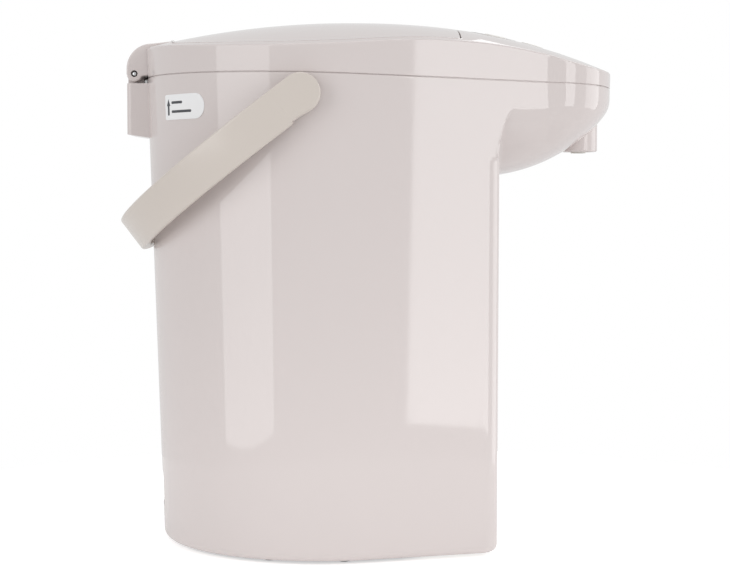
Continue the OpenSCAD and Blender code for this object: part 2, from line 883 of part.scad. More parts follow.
module gauge_window() {
    color(clear_colour) from_axis() union() {
        block(front_x - wall - 0.3, front_x - 0.4, window_hw - fit / 2, window_z + fit / 2, window_z + window_h - fit / 2);
        block(front_x - wall - 0.75, front_x - wall - 0.05, window_hw + 2, window_z - 2, window_z + window_h + 2);
    }
}

// ---- Electrics ----------------------------------------------------------

module main_board() {
    color(board_colour) from_axis() union() {
        block(main_board_x, main_board_x + main_board_l, main_board_hw, main_board_z, main_board_z + board_t);
        translate([main_board_x + 6, -34, main_board_z + 1]) cube([22, 24, 12]);
        translate([main_board_x + 4, 12, main_board_z + 1]) cube([12, 20, 13]);
        for (side = [0:2])
            disc(main_board_x + 26 + 7 * side, 26, main_board_z + 1, main_board_z + 10, 3);
    }
}

module control_board() {
    color(board_colour) from_axis() union() {
        block(board_x, board_x + board_l, board_hw, board_z, board_z + board_t);
        at_keys() translate([-3, -3, board_z + board_t - 0.2]) cube([6, 6, switch_h + 0.2]);
    }
}

module at_keys() {
    translate([dispense_x - key_stem_back, 0, 0]) children();
    for (side = [-1, 1]) {
        translate([small_key_x, side * small_key_y, 0]) children();
        translate([side_key_x, side * side_key_y, 0]) children();
    }
}

module display() {
    color(dark_colour) from_axis() difference() {
        block(display_x, display_x + display_l, display_hw, board_z + board_t, far);
        above_crown(1.4);
    }
}

// All space above the crown lowered by drop
module above_crown(drop) {
    difference() {
        block(-far / 2, far / 2, far / 2, keel_z, far + 1);
        under_crown(drop);
    }
}

module control_panel() {
    color(handle_colour) from_axis() difference() {
        intersection() {
            translate([0, 0, board_z]) linear_extrude(60) panel_outline(0);
            under_crown(0);
        }
        under_crown(panel_t);
        translate([0, 0, board_z]) linear_extrude(60) key_holes(key_gap);
    }
}

// A key: a cap that follows the crown, on a stem that ends above its switch
module key(x, y, r, stem_x) {
    switch_top = board_z + board_t + switch_h;
    cap_z = crown_z(x + r, abs(y) + r) - key_cap_t;
    from_axis() union() {
        intersection() {
            disc(x, y, cap_z, far, r);
            under_crown(-key_rise);
        }
        disc(stem_x, y, switch_top + key_travel + 0.2, cap_z + 1, key_stem_r);
    }
}

module dispense_key() {
    color(white_colour) key(dispense_x, 0, dispense_r, dispense_x - key_stem_back);
}

module unlock_key() {
    color(white_colour) key(small_key_x, -small_key_y, key_r, small_key_x);
}

module reboil_key() {
    color(white_colour) key(small_key_x, small_key_y, key_r, small_key_x);
}

module temperature_key() {
    color(white_colour) key(side_key_x, -side_key_y, key_r, side_key_x);
}

module timer_key() {
    color(white_colour) key(side_key_x, side_key_y, key_r, side_key_x);
}

module power_inlet() {
    back_x = -back_r(inlet_z);
    color(dark_colour) from_axis() difference() {
        union() {
            intersection() {
                block(back_x - 5, back_x + inlet_depth, inlet_hw - fit, inlet_z - inlet_h / 2 + fit,
                    inlet_z + inlet_h / 2 - fit);
                case_form(0.5, foot_gap, foot_round);
            }
            block(back_x + 8, back_x + inlet_depth, inlet_hw + 3, inlet_z - inlet_h / 2 - 3, inlet_z + inlet_h / 2 + 3);
        }
        block(back_x - 5, back_x + inlet_recess, inlet_hw - inlet_wall, inlet_z - inlet_h / 2 + inlet_wall,
            inlet_z + inlet_h / 2 - inlet_wall);
        for (side = [-1, 1])
            translate([back_x, side * contact_y, inlet_z]) rotate([0, 90, 0])
                cylinder(h = inlet_depth + 1, r = contact_r, $fn = 32);
    }
}

module inlet_contacts() {
    back_x = -back_r(inlet_z);
    color(copper_colour) from_axis() for (side = [-1, 1])
        translate([back_x + 3, side * contact_y, inlet_z]) rotate([0, 90, 0])
            cylinder(h = inlet_depth + 1, r = contact_r, $fn = 32);
}

// A loom led up a front corner of the case, from the main board to the control board
module wiring_loom() {
    board_top = main_board_z + board_t + loom_r + 0.1;
    route = [[main_board_x + main_board_l - 6, loom_in_y, board_top], [loom_x, loom_in_y, board_top],
        [loom_x, loom_out_y, board_top], [loom_x, loom_out_y, outlet_z], [board_x + 10, loom_out_y, outlet_z],
        [board_x + 10, loom_in_y, outlet_z], [board_x + 10, loom_in_y, board_z]];
    color(rubber_colour) from_axis() union() {
        for (i = [0:len(route) - 2]) rod(route[i], route[i + 1], loom_r);
        for (i = [1:len(route) - 2]) translate(route[i]) sphere(r = loom_r, $fn = 32);
    }
}

// A round rod from point a to point b
module rod(a, b, r) {
    d = b - a;
    translate(a) rotate([0, acos(d[2] / norm(d)), atan2(d[1], d[0])]) cylinder(h = norm(d), r = r, $fn = 32);
}

// ---- Handle -------------------------------------------------------------

// Plan of the bail, with its pivots at x = 0: arms that run straight, then one full round
module bail_outline(reach, half, radius, tail) {
    straight = reach - radius;
    intersection() {
        union() {
            translate([-tail, -half]) square([straight + tail, 2 * half]);
            for (side = [-1, 1])
                translate([straight, side * (half - radius)]) circle(radius, $fn = 96);
            translate([straight, -(half - radius)]) square([radius, 2 * (half - radius)]);
        }
        translate([-tail, -half]) square([reach + tail, 2 * half]);
    }
}

module handle() {
    color(handle_colour) from_axis()
        translate([-pivot_back, 0, pivot_z]) rotate([0, 180 - rest_angle, 0]) difference() {
            union() {
                translate([0, 0, -strap_w / 2]) linear_extrude(strap_w) difference() {
                    bail_outline(handle_reach, handle_hw, handle_corner_r, 1);
                    bail_outline(handle_reach - grip_t, handle_inner_hw, inner_corner_r, 2);
                }
                for (side = [-1, 1]) side_rod(0, 0, side, handle_inner_hw, handle_hw, strap_w / 2);
            }
            for (side = [-1, 1])
                side_rod(0, 0, side, handle_inner_hw - 1, handle_hw - pin_cap_t, pivot_r + run_fit);
        }
}

module handle_pins() {
    inner_y = back_r(pivot_z) - wall - boss_in - 1;
    color(inner_colour) from_axis() for (side = [-1, 1]) {
        side_rod(-pivot_back, pivot_z, side, inner_y, handle_hw - pin_cap_t - 0.4, pivot_r);
        side_rod(-pivot_back, pivot_z, side, inner_y - 2, inner_y, pivot_r + 3);
    }
}

// ---- Lid ----------------------------------------------------------------

module lid_shell() {
    color(shell_colour) from_axis() difference() {
        union() {
            difference() {
                intersection() {
                    lid_form(lid_gap);
                    under_crown(0);
                    block(-far / 2, lid_front_x, far / 2, lid_z, far);
                }
                intersection() {
                    lid_form(lid_gap + skirt_t);
                    under_crown(crown_t);
                    difference() {
                        block(-hinge_back + hinge_relief_r + 4, lid_front_x - skirt_t, far / 2, lid_z - 1, far);
                        block(lever_x - lever_back - scoop_l - well_t, lid_front_x, lever_hw + 0.5 + well_t,
                            well_z - well_t, far);
                        disc(-vent_back, 0, lid_z + plate_t + fit, far, vent_r + 2.5);
                    }
                }
                cross_rod(-hinge_back, hinge_z, -far / 4, far / 4, hinge_relief_r);
            }
            knuckle_block();
        }
        // Lever well with its open scoop, and the slot for the lever's finger
        block(lever_x - lever_back - scoop_l, lever_x + lever_front + 1, lever_hw + 0.5, well_z, far);
        block(lever_x - 8, lever_x + 5, finger_hw + 0.5, latch_z, far);
        block(lid_front_x - skirt_t - 1, lid_front_x + 1, latch_hw + 0.3, latch_z - 0.3, latch_z + latch_h + 0.3);
        cross_rod(lever_x, lever_z, -lever_hw - well_t - 0.5, lever_hw + well_t + 0.5, lever_pin_r);
        // Vent well
        disc(-vent_back, 0, crown_z(-vent_back, 0) - 6, far, vent_r + 0.3);
        disc(-vent_back, 0, lid_z - 1, far, 6);
    }
}

// Block at the back of the lid: two ears on the hinge pin, open between them
module knuckle_block() {
    arc_x = hinge_face_x - knuckle_round;
    arc_z = body_h - block_drop - knuckle_round;
    front = hinge_back - hinge_relief_r - 2;
    difference() {
        union() {
            translate([0, hinge_hw, 0]) rotate([90, 0, 0]) linear_extrude(2 * hinge_hw)
                polygon(concat([[-hinge_face_x, hinge_z]],
                    [for (a = [180:-10:90]) [-arc_x + knuckle_round * cos(a), arc_z + knuckle_round * sin(a)]],
                    [[-front, crown_z(-front, hinge_hw)], [-front, lid_z + 1], [-hinge_back + 4, hinge_z - 2],
                    [-hinge_back, hinge_z - 1]]));
            cross_rod(-hinge_back, hinge_z, -hinge_hw, hinge_hw, knuckle_r);
        }
        block(-hinge_face_x - 1, -hinge_back + knuckle_r + 3, tongue_hw + 0.4, 0, hinge_z + knuckle_r + 1.4);
        cross_rod(-hinge_back, hinge_z, -far / 4, far / 4, hinge_pin_r + run_fit);
    }
}

module lid_plate() {
    color(inner_colour) from_axis() difference() {
        intersection() {
            lid_form(lid_gap + skirt_t + fit);
            block(-hinge_back + hinge_relief_r + 4 + fit, lid_front_x - skirt_t - fit, far / 2, lid_z, lid_z + plate_t);
        }
        disc(-vent_back, 0, lid_z - 1, lid_z + 5, 9);
    }
}

module inner_cover() {
    color(steel_colour) from_axis() difference() {
        disc(0, 0, plug_z, lid_z, plug_r);
        disc(0, 0, plug_z + 1, lid_z - 1, plug_r - 1);
        disc(-vent_back, 0, plug_z - 1, lid_z + 1, 9);
        for (a = [0:60:300])
            translate([22 * cos(a), 22 * sin(a), plug_z - 1]) cylinder(h = 3, r = 2, $fn = 24);
    }
}

module lid_gasket() {
    color(rubber_colour) from_axis() difference() {
        ring(0, 0, plug_z + 6, plug_z + 12, mouth_r - 0.7, plug_r + 0.1);
        ring(0, 0, plug_z + 8, plug_z + 10, mouth_r, plug_r + 1.8);
    }
}

module steam_vent() {
    top_z = crown_z(-vent_back - vent_r, 0);
    color(inner_colour) from_axis() difference() {
        intersection() {
            disc(-vent_back, 0, crown_z(-vent_back, 0) - 6, far, vent_r);
            under_crown(0.3);
        }
        for (i = [-2:2])
            translate([-vent_back - 7, 4 * i - 0.9, top_z - 8]) cube([14, 1.8, 20]);
    }
}

// Cage of the tip-over valve, hanging under the steam way
module valve_cage() {
    cage_z = plug_z + 2;
    color(inner_colour) from_axis() difference() {
        union() {
            disc(-vent_back, 0, cage_z, crown_z(-vent_back, 0) - 6.2, 5.7);
            disc(-vent_back, 0, cage_z, lid_z + 2, 8.7);
        }
        disc(-vent_back, 0, cage_z + 2, lid_z - 2, 6);
        disc(-vent_back, 0, cage_z - 1, far, 2.5);
    }
}

module tip_over_ball() {
    cage_z = plug_z + 2;
    color(steel_colour) from_axis() translate([-vent_back, 0, cage_z + 2 + 4.2]) sphere(r = 4.5, $fn = 48);
}

module lid_lever() {
    color(handle_colour) from_axis() difference() {
        union() {
            intersection() {
                difference() {
                    block(lever_x - lever_back, lever_x + lever_front, lever_hw, well_z + 1, far);
                    under_crown(lever_t);
                }
                under_crown(0);
            }
            cross_rod(lever_x, lever_z, -lever_hw, -lever_hw / 2, lever_pin_r + 1.7);
            cross_rod(lever_x, lever_z, lever_hw / 2, lever_hw, lever_pin_r + 1.7);
            for (side = [-1, 1])
                translate([lever_x - 1.5, side * lever_hw * 0.75 - lever_hw / 4, lever_z])
                    cube([3, lever_hw / 2, 2]);
            cross_rod(lever_x, lever_z, -finger_hw, finger_hw, lever_pin_r + 1.7);
            block(lever_x - 1.5, lever_x + 1.5, finger_hw, lever_z - finger_l + 1, lever_z + 2);
        }
        cross_rod(lever_x, lever_z, -lever_hw - 1, lever_hw + 1, lever_pin_r + run_fit);
        cross_rod(lever_x, lever_z, finger_hw + 0.2, lever_hw / 2 - 0.1, lever_pin_r + 1);
    }
}

module lever_pin() {
    color(steel_colour) from_axis()
        cross_rod(lever_x, lever_z, -lever_hw - well_t, lever_hw + well_t, lever_pin_r);
}

module lever_spring() {
    color(steel_colour) from_axis() difference() {
        cross_rod(lever_x, lever_z, finger_hw + 0.6, lever_hw / 2 - 0.5, lever_pin_r + 0.6);
        cross_rod(lever_x, lever_z, 0, lever_hw, lever_pin_r + 0.1);
    }
}

module lid_latch() {
    front = lid_front_x + latch_out;
    color(inner_colour) from_axis() difference() {
        block(front - latch_l, front, latch_hw, latch_z, latch_z + latch_h);
        block(lever_x - latch_slot / 2, lever_x + latch_slot / 2, finger_hw + 0.4, latch_z - 1, latch_z + latch_h + 1);
        translate([front, 0, latch_z]) rotate([0, -45, 0]) cube([4, 40, 8], center = true);
    }
}

// ---- Foot ---------------------------------------------------------------

module base_cover() {
    color(inner_colour) from_axis() difference() {
        union() {
            difference() {
                case_form(wall + fit, base_z, 0.5);
                block(-far / 2, far / 2, far / 2, floor_top_z, far);
                disc(0, 0, 0, floor_z, turntable_r + 1);
            }
            disc(0, 0, base_z + washer_t, floor_top_z, spigot_r);
            at_legs() disc(0, 0, floor_z + 0.5, floor_top_z + boss_h, leg_r);
            for (x = [main_board_x + 4, main_board_x + main_board_l - 4], side = [-1, 1])
                disc(x, side * (main_board_hw - 4), floor_top_z - 1, main_board_z, 3);
        }
        disc(0, 0, 0, floor_top_z - 1, screw_hole_r);
        at_corners() disc(0, 0, 0, far, screw_hole_r);
        at_corners() disc(0, 0, 0, base_z + head_h, head_r + 0.3);
        at_legs() disc(0, 0, 0, far, screw_hole_r);
        at_legs() disc(0, 0, 0, floor_z + head_h + 0.3, head_r + 0.3);
    }
}

module base_screws() {
    color(steel_colour) from_axis() {
        at_corners() {
            disc(0, 0, base_z + 0.2, base_z + head_h, head_r);
            disc(0, 0, base_z + 1, floor_top_z + corner_boss_h - 4, screw_r);
        }
        at_legs() {
            disc(0, 0, floor_z + 0.3, floor_z + head_h + 0.3, head_r);
            disc(0, 0, floor_z + 1, frame_z - 8, screw_r);
        }
    }
}

module turntable() {
    color(dark_colour) from_axis() difference() {
        union() {
            disc(0, 0, base_z, base_z + turntable_t, turntable_r);
            ring(0, 0, base_z, floor_z - 0.2, bearing_r + 3, bearing_r);
        }
        disc(0, 0, 0, far, spigot_r + run_fit);
        disc(0, 0, 0, base_z + washer_t + 0.3, washer_r + 0.5);
    }
}

module turntable_pads() {
    color(rubber_colour) from_axis() for (i = [0:pads - 1])
        rotate(pad_angle + 360 * i / pads) translate([pad_circle_r, 0, 0]) cylinder(h = pad_h, r = pad_r, $fn = 32);
}

module turntable_washer() {
    color(steel_colour) from_axis() ring(0, 0, base_z, base_z + washer_t, washer_r, screw_hole_r);
}

module turntable_screw() {
    color(steel_colour) from_axis() union() {
        disc(0, 0, base_z - head_h, base_z, head_r);
        disc(0, 0, base_z - 1, floor_top_z - 2, screw_r);
    }
}

// Small label on the side, wrapped on the case
module side_label() {
    color(white_colour) from_axis() difference() {
        intersection() {
            case_form(-label_t - 0.05, foot_gap, foot_round);
            rotate([0, 0, label_angle]) translate([back_r(label_z) - 10, 0, label_z]) rotate([90, 0, 90])
                linear_extrude(20) label_outline();
        }
        case_form(-0.05, foot_gap, foot_round);
    }
}

module label_outline() {
    end_r = label_h / 2;
    union() {
        translate([-label_l / 2 + 1, -end_r]) square([label_l - end_r - 1, label_h]);
        translate([label_l / 2 - end_r, 0]) circle(end_r, $fn = 48);
    }
}

outer_case();
base_cover();
top_cover();
hinge_bracket();
hinge_pin();
bracket_screws();
inner_vessel();
vessel_collar();
insulation_sleeve();
heater();
thermal_cutout();
temperature_sensor();
support_frame();
pump_housing();
pump_cover();
pump_impeller();
pump_motor();
motor_rotor();
suction_seal();
lower_pipe();
gauge_tube();
upper_pipe();
spout();
gauge_window();
main_board();
control_board();
display();
control_panel();
dispense_key();
unlock_key();
reboil_key();
temperature_key();
timer_key();
power_inlet();
inlet_contacts();
handle();
handle_pins();
lid_shell();
lid_plate();
inner_cover();
lid_gasket();
steam_vent();
valve_cage();
tip_over_ball();
lid_lever();
lever_pin();
lever_spring();
lid_latch();
turntable();
turntable_pads();
turntable_washer();
turntable_screw();
base_screws();
side_label();
wiring_loom();
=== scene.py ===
# %% [markdown]
# # Electric thermo pot
# The pot is a set of thin moulded shells round a steel vessel: a case with the
# lower half of the beak, a top cover with the upper half, a hinged lid and a
# bail handle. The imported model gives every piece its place. This lesson puts
# smooth skins on the shells that show and a finish on everything else.

# %% Load the frame
import json
import math

import bmesh
import bpy
from mathutils import Matrix, Vector


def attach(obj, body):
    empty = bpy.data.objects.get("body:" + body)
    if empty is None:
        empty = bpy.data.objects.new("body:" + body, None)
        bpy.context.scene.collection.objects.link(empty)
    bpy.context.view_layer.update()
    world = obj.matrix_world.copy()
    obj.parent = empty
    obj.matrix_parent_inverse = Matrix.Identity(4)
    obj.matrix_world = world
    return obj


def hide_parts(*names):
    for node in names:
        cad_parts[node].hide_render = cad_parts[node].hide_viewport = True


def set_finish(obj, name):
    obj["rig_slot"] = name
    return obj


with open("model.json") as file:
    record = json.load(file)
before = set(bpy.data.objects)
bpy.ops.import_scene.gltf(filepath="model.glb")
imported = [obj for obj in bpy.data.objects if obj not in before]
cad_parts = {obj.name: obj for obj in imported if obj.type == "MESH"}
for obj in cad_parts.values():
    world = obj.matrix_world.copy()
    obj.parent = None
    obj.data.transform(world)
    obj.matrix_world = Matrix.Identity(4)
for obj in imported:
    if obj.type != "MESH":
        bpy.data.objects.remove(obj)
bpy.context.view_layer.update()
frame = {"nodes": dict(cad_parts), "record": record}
nodes = frame["nodes"]

# %% [markdown]
# ## The form of the pot
# The case is a round back joined by two flat sides to a narrower flat front,
# and it tapers a little towards the foot. Its crown is a shallow dome that
# falls away along the beak. Every skin below is cut from these same curves,
# so the driving sizes are written once, in millimetres from the pot's axis.

# %% Driving sizes
AXIS_X = -26.0
MM = 0.001
BODY_H = 313.0
BACK_TOP_R = 107.5
BACK_FOOT_R = 97.5
FRONT_X = 103.0
SIDE_LEAN = math.radians(17.0)
CORNER_R = 11.0
FOOT_GAP = 2.0
WALL = 3.0
SEAM_Z = BODY_H - 36.0
SEAM_FALL = math.tan(math.radians(1.4))
PEAK_X = 16.0
BACK_DROP = 15.4
TIP_DROP = 31.0
SIDE_DROP = 20.0
FRONT_POWER = 2.3
TIP_X = 175.0
NOSE_X = 132.0
NOSE_POWER = 2.3
NOSE_LEAN = 0.025
KEEL_Z = BODY_H - 51.0
KEEL_DEPTH = 41.0
WEB_LONG = 19.0
WEB_HIGH = 34.0
TAPER = (BACK_TOP_R - BACK_FOOT_R) / (BODY_H - FOOT_GAP)


def spot(x, y, z):
    """A point given in millimetres from the pot's axis, in the frame's metres."""
    return Vector(((x + AXIS_X) * MM, y * MM, z * MM))


def toward(angle, radius):
    """The x and y of a radius in a direction."""
    return radius * math.cos(angle), radius * math.sin(angle)


def round_spot(angle, radius, z):
    return spot(*toward(angle, radius), z)


# %% [markdown]
# The plan is convex, so it can be told by its radius in each direction from
# the axis. The sides are straight lines, the front corners are true arcs and
# the beak's nose is a curve a little fuller than an ellipse, found by halving.


# %% Plan of the case and of the beak
def back_r(z):
    return BACK_TOP_R - (BODY_H - z) * TAPER


def flat_side_r(angle, z, inset=0.0):
    """Radius to the round back or to the flat side that runs on from it."""
    turn = abs(angle)
    if turn >= math.pi / 2 - SIDE_LEAN:
        return back_r(z) - inset
    return (back_r(z) - inset) / math.sin(turn + SIDE_LEAN)


def case_r(angle, z):
    """Radius of the body below the beak: back, flat side, corner and front."""
    turn = abs(angle)
    sine, cosine = math.sin(SIDE_LEAN), math.cos(SIDE_LEAN)
    corner_x = FRONT_X - CORNER_R
    corner_y = (back_r(z) - CORNER_R - corner_x * sine) / cosine
    if turn <= math.atan2(corner_y, FRONT_X):
        return FRONT_X / math.cos(turn)
    if turn >= math.atan2(corner_y + CORNER_R * cosine, corner_x + CORNER_R * sine):
        return flat_side_r(angle, z)
    along = corner_x * math.cos(turn) + corner_y * math.sin(turn)
    reach = along ** 2 - corner_x ** 2 - corner_y ** 2 + CORNER_R ** 2
    return along + math.sqrt(max(0.0, reach))


def side_y(x, z):
    return (back_r(z) - x * math.sin(SIDE_LEAN)) / math.cos(SIDE_LEAN)


def tip_x(z):
    """The end of the beak at a height."""
    return TIP_X - (BODY_H - z) * NOSE_LEAN


def beak_y(x, z):
    """Half the width of the beak at x."""
    if x < NOSE_X:
        return side_y(x, z)
    share = min(1.0, (x - NOSE_X) / (tip_x(z) - NOSE_X))
    return side_y(NOSE_X, z) * (1 - share ** NOSE_POWER) ** (1 / NOSE_POWER)


def beak_r(angle, z):
    """Radius of the plan with the beak, found by halving past the nose."""
    turn = abs(angle)
    straight = flat_side_r(angle, z)
    if turn > math.pi / 2 or straight * math.cos(turn) <= NOSE_X:
        return straight
    low, high = NOSE_X / math.cos(turn), TIP_X / math.cos(turn)
    for _ in range(26):
        middle = (low + high) / 2
        x, y = toward(turn, middle)
        inside = y < beak_y(x, z) and x < tip_x(z)
        low, high = (middle, high) if inside else (low, middle)
    return low


def crown_z(x, y):
    if x < PEAK_X:
        fall = BACK_DROP * ((PEAK_X - x) / (PEAK_X + BACK_TOP_R)) ** 2
    else:
        fall = TIP_DROP * ((x - PEAK_X) / (TIP_X - PEAK_X)) ** FRONT_POWER
    return BODY_H - SIDE_DROP * (y / BACK_TOP_R) ** 2 - fall


def bowl_z(x, y):
    """Underside of the beak: deepest at the front face, closing up to the tip.

    An arched web under each side joins it to the front corners of the body.
    """
    start = FRONT_X - CORNER_R
    end = tip_x(KEEL_Z) - 0.5
    share = min(1.0, max(0.0, (x - start) / (end - start)))
    depth = KEEL_DEPTH * (1 - share ** 2.1) ** 0.8
    across = min(1.0, abs(y) / max(1.0, beak_y(x, KEEL_Z)))
    lean_in = min(1.0, max(0.0, (FRONT_X - 1 + WEB_LONG - x) / WEB_LONG))
    web = KEEL_Z + 2 - WEB_HIGH * (1 - math.sqrt(1 - lean_in ** 2))
    return min(web, KEEL_Z + 2 - (depth + 2) * (1 - across ** 2.35) ** 0.475)


def seam_z(x):
    return SEAM_Z - x * SEAM_FALL


print("plan at the crown: front", round(case_r(0, KEEL_Z), 1), "back", round(case_r(math.pi, BODY_H), 1))

# %% [markdown]
# ## Tools for skins
# A shell of this kind is lofted: a circle of edges is extruded ring by ring and
# each ring is moved onto the form. The rings carry a number for each direction,
# which an extrusion hands on, so a vertex always knows where it belongs. A short
# profile with rounded corners says where the rings go.

# %% Directions round the axis, closer together where the plan turns sharply
AROUND = 360
CROWDED = ((38.5, 4.5, 3.0), (22.0, 12.0, 1.3))


def spread_directions():
    """Equal shares of a weight that CROWDED lifts: where, how widely and how much."""
    steps = 3600
    turns = [2 * math.pi * i / steps - math.pi for i in range(steps)]
    weights = []
    for turn in turns:
        weight = 1.0
        for centre, spread, extra in CROWDED:
            off = (abs(turn) - math.radians(centre)) / math.radians(spread)
            weight += extra * math.exp(-off ** 2)
        weights.append(weight)
    total = sum(weights)
    chosen, run, wanted = [], 0.0, 0.0
    for turn, weight in zip(turns, weights):
        if run >= wanted - 1e-9 and len(chosen) < AROUND:
            chosen.append(turn)
            wanted += total / AROUND
        run += weight
    return chosen


DIRECTIONS = spread_directions()
print("directions:", len(DIRECTIONS))


# %% Loft, profile and finish helpers
def loft(rings, capped=False):
    """A skin through rings of points, made by extruding a circle of edges."""
    bm = bmesh.new()
    place = bm.verts.layers.int.new("place")
    first = bmesh.ops.create_circle(bm, segments=len(rings[0]), radius=1.0)["verts"]
    for number, vert in enumerate(first):
        vert[place] = number
        vert.co = rings[0][number]
    edges = list(bm.edges)
    if capped:
        bmesh.ops.contextual_create(bm, geom=edges)
    for ring in rings[1:]:
        made = bmesh.ops.extrude_edge_only(bm, edges=edges)["geom"]
        edges = [item for item in made if isinstance(item, bmesh.types.BMEdge)]
        for vert in made:
            if isinstance(vert, bmesh.types.BMVert):
                vert.co = ring[vert[place]]
    if capped:
        bmesh.ops.contextual_create(bm, geom=edges)
    bmesh.ops.recalc_face_normals(bm, faces=bm.faces)
    if bm.calc_volume(signed=True) < 0:
        bmesh.ops.reverse_faces(bm, faces=bm.faces)
    return bm


def rounded(points, steps=5):
    """A profile of (radius, height, rounding) points as a path with round corners."""
    path = [points[0][:2]]
    for before, here, after in zip(points, points[1:], points[2:]):
        corner = Vector(here[:2])
        back, ahead = Vector(before[:2]) - corner, Vector(after[:2]) - corner
        size = min(here[2], back.length * 0.49, ahead.length * 0.49)
        if size < 1e-6:
            path.append(here[:2])
            continue
        start, end = corner + back.normalized() * size, corner + ahead.normalized() * size
        for i in range(steps + 1):
            share = i / steps
            near = start.lerp(corner, share)
            path.append(tuple(near.lerp(corner.lerp(end, share), share)))
    path.append(points[-1][:2])
    return path


def resample(path, count):
    """The same path with count points at equal distances along it."""
    lengths = [0.0]
    for a, b in zip(path, path[1:]):
        lengths.append(lengths[-1] + math.dist(a, b))
    result, leg = [], 0
    for i in range(count):
        wanted = lengths[-1] * i / (count - 1)
        while leg < len(path) - 2 and lengths[leg + 1] < wanted:
            leg += 1
        span = max(1e-9, lengths[leg + 1] - lengths[leg])
        share = (wanted - lengths[leg]) / span
        result.append(tuple(a + (b - a) * share for a, b in zip(path[leg], path[leg + 1])))
    return result


def profile_loft(profile, capped=False):
    """A loft whose rings follow one profile of (radius, height) for each direction."""
    columns = [profile(turn) for turn in DIRECTIONS]
    rings = [[round_spot(turn, *column[row]) for turn, column in zip(DIRECTIONS, columns)]
             for row in range(len(columns[0]))]
    return loft(rings, capped)


def climb(radius, turn, low, rise, steps, *more):
    """Points up a wall, its lowest left out: a plan's radius at even steps of height."""
    heights = [low + rise * i / steps for i in range(1, steps + 1)]
    return [(radius(turn, z, *more), z) for z in heights]


def shade(mesh, sharp):
    """Smooth faces, with hard edges where they meet at more than an angle."""
    mesh.polygons.foreach_set("use_smooth", [True] * len(mesh.polygons))
    mesh.set_sharp_from_angle(angle=math.radians(sharp))


def piece(name, bm, sharp=35.0):
    """A bmesh as an object at the origin."""
    mesh = bpy.data.meshes.new(name)
    bm.to_mesh(mesh)
    bm.free()
    shade(mesh, sharp)
    thing = bpy.data.objects.new(name, mesh)
    bpy.context.scene.collection.objects.link(thing)
    return thing


def thicken(thing, thickness):
    """Gives a skin its wall, inwards from the outside."""
    wall = thing.modifiers.new("wall", "SOLIDIFY")
    wall.thickness = thickness * MM
    wall.offset = -1.0
    wall.use_even_offset = True


def settle(thing, sharp=35.0):
    """Applies the modifiers, so that the finished mesh is the piece."""
    graph = bpy.context.evaluated_depsgraph_get()
    mesh = bpy.data.meshes.new_from_object(thing.evaluated_get(graph))
    thing.modifiers.clear()
    thing.data = mesh
    shade(mesh, sharp)
    return thing


def carve(thing, tool, operation="DIFFERENCE", solver="FAST"):
    """Cuts one piece with another, then throws the tool away."""
    cut = thing.modifiers.new("cut", "BOOLEAN")
    cut.operation = operation
    cut.solver = solver
    cut.object = tool
    settle(thing)
    bpy.data.objects.remove(tool)
    print(f"{thing.name} cut: {len(thing.data.polygons)} faces")
    return thing


def add_block(bm, x0, x1, y0, y1, z0, z1):
    """A block between two corners."""
    made = bmesh.ops.create_cube(bm, size=1.0)["verts"]
    low, high = spot(x0, y0, z0), spot(x1, y1, z1)
    bmesh.ops.scale(bm, vec=high - low, verts=made)
    bmesh.ops.translate(bm, vec=(low + high) / 2, verts=made)
    return bm


def box_tool(*corners):
    return piece("box_tool", add_block(bmesh.new(), *corners))


def rod(centre, r, length, segments, across=False):
    """A round tool, upright or lying across the pot."""
    bm = bmesh.new()
    turn = Matrix.Rotation(math.pi / 2 if across else 0.0, 4, "X")
    bmesh.ops.create_cone(bm, cap_ends=True, segments=segments, radius1=r * MM, radius2=r * MM,
                          depth=length * MM, matrix=Matrix.Translation(centre) @ turn)
    return piece("rod", bm)


def drum(x, y, r, low, high, segments=64):
    return rod(spot(x, y, (low + high) / 2), r, high - low, segments)


def add_spun(bm, outline, centre, axis, steps):
    """A turned shape: (radius, height) points spun about an axis through the centre."""
    axis = Vector(axis).normalized()
    side = axis.orthogonal().normalized()
    verts = [bm.verts.new(centre + side * r * MM + axis * h * MM) for r, h in outline]
    edges = [bm.edges.new(pair) for pair in zip(verts, verts[1:])]
    bmesh.ops.spin(bm, geom=verts + edges, cent=centre, axis=axis, angle=2 * math.pi,
                   steps=steps, use_merge=True)
    bmesh.ops.remove_doubles(bm, verts=bm.verts, dist=1e-6)
    bmesh.ops.recalc_face_normals(bm, faces=bm.faces)


def round_off(bm, geom, size, segments, affect="EDGES"):
    """Rounds edges, or the corners of a flat outline."""
    bmesh.ops.bevel(bm, geom=geom, offset=size, offset_type="OFFSET", segments=segments,
                    profile=0.5, affect=affect, clamp_overlap=True, material=-1)


def doubled(bm):
    """Extrudes every face and gives the vertices of the copy."""
    made = bmesh.ops.extrude_face_region(bm, geom=list(bm.faces))["geom"]
    return [item for item in made if isinstance(item, bmesh.types.BMVert)]


def pull(bm, y, z):
    """Turns a flat face into a solid by pulling its copy away, in millimetres."""
    bmesh.ops.translate(bm, vec=(0, y * MM, z * MM), verts=doubled(bm))
    bmesh.ops.recalc_face_normals(bm, faces=bm.faces)


def drape(bm, cuts, lay, lift, thickness):
    """Cuts a flat drawing so that it can bend, then lays it on a surface as a thin film."""
    for point, normal in cuts:
        bmesh.ops.bisect_plane(bm, geom=bm.verts[:] + bm.edges[:] + bm.faces[:], dist=1e-4,
                               plane_co=point, plane_no=normal)
    raised = set(doubled(bm))
    for vert in bm.verts:
        vert.co = lay(vert.co.x, vert.co.y, lift + (thickness if vert in raised else 0.0))
    bmesh.ops.recalc_face_normals(bm, faces=bm.faces)
    return bm


def keep(thing, body, slot, *replaced):
    """Puts a finished piece on its body, with its slot and the nodes it stands for."""
    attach(thing, body)
    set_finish(thing, slot)
    if replaced:
        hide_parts(*replaced)
    print(f"{thing.name}: {len(thing.data.polygons)} faces on {body}")
    return thing


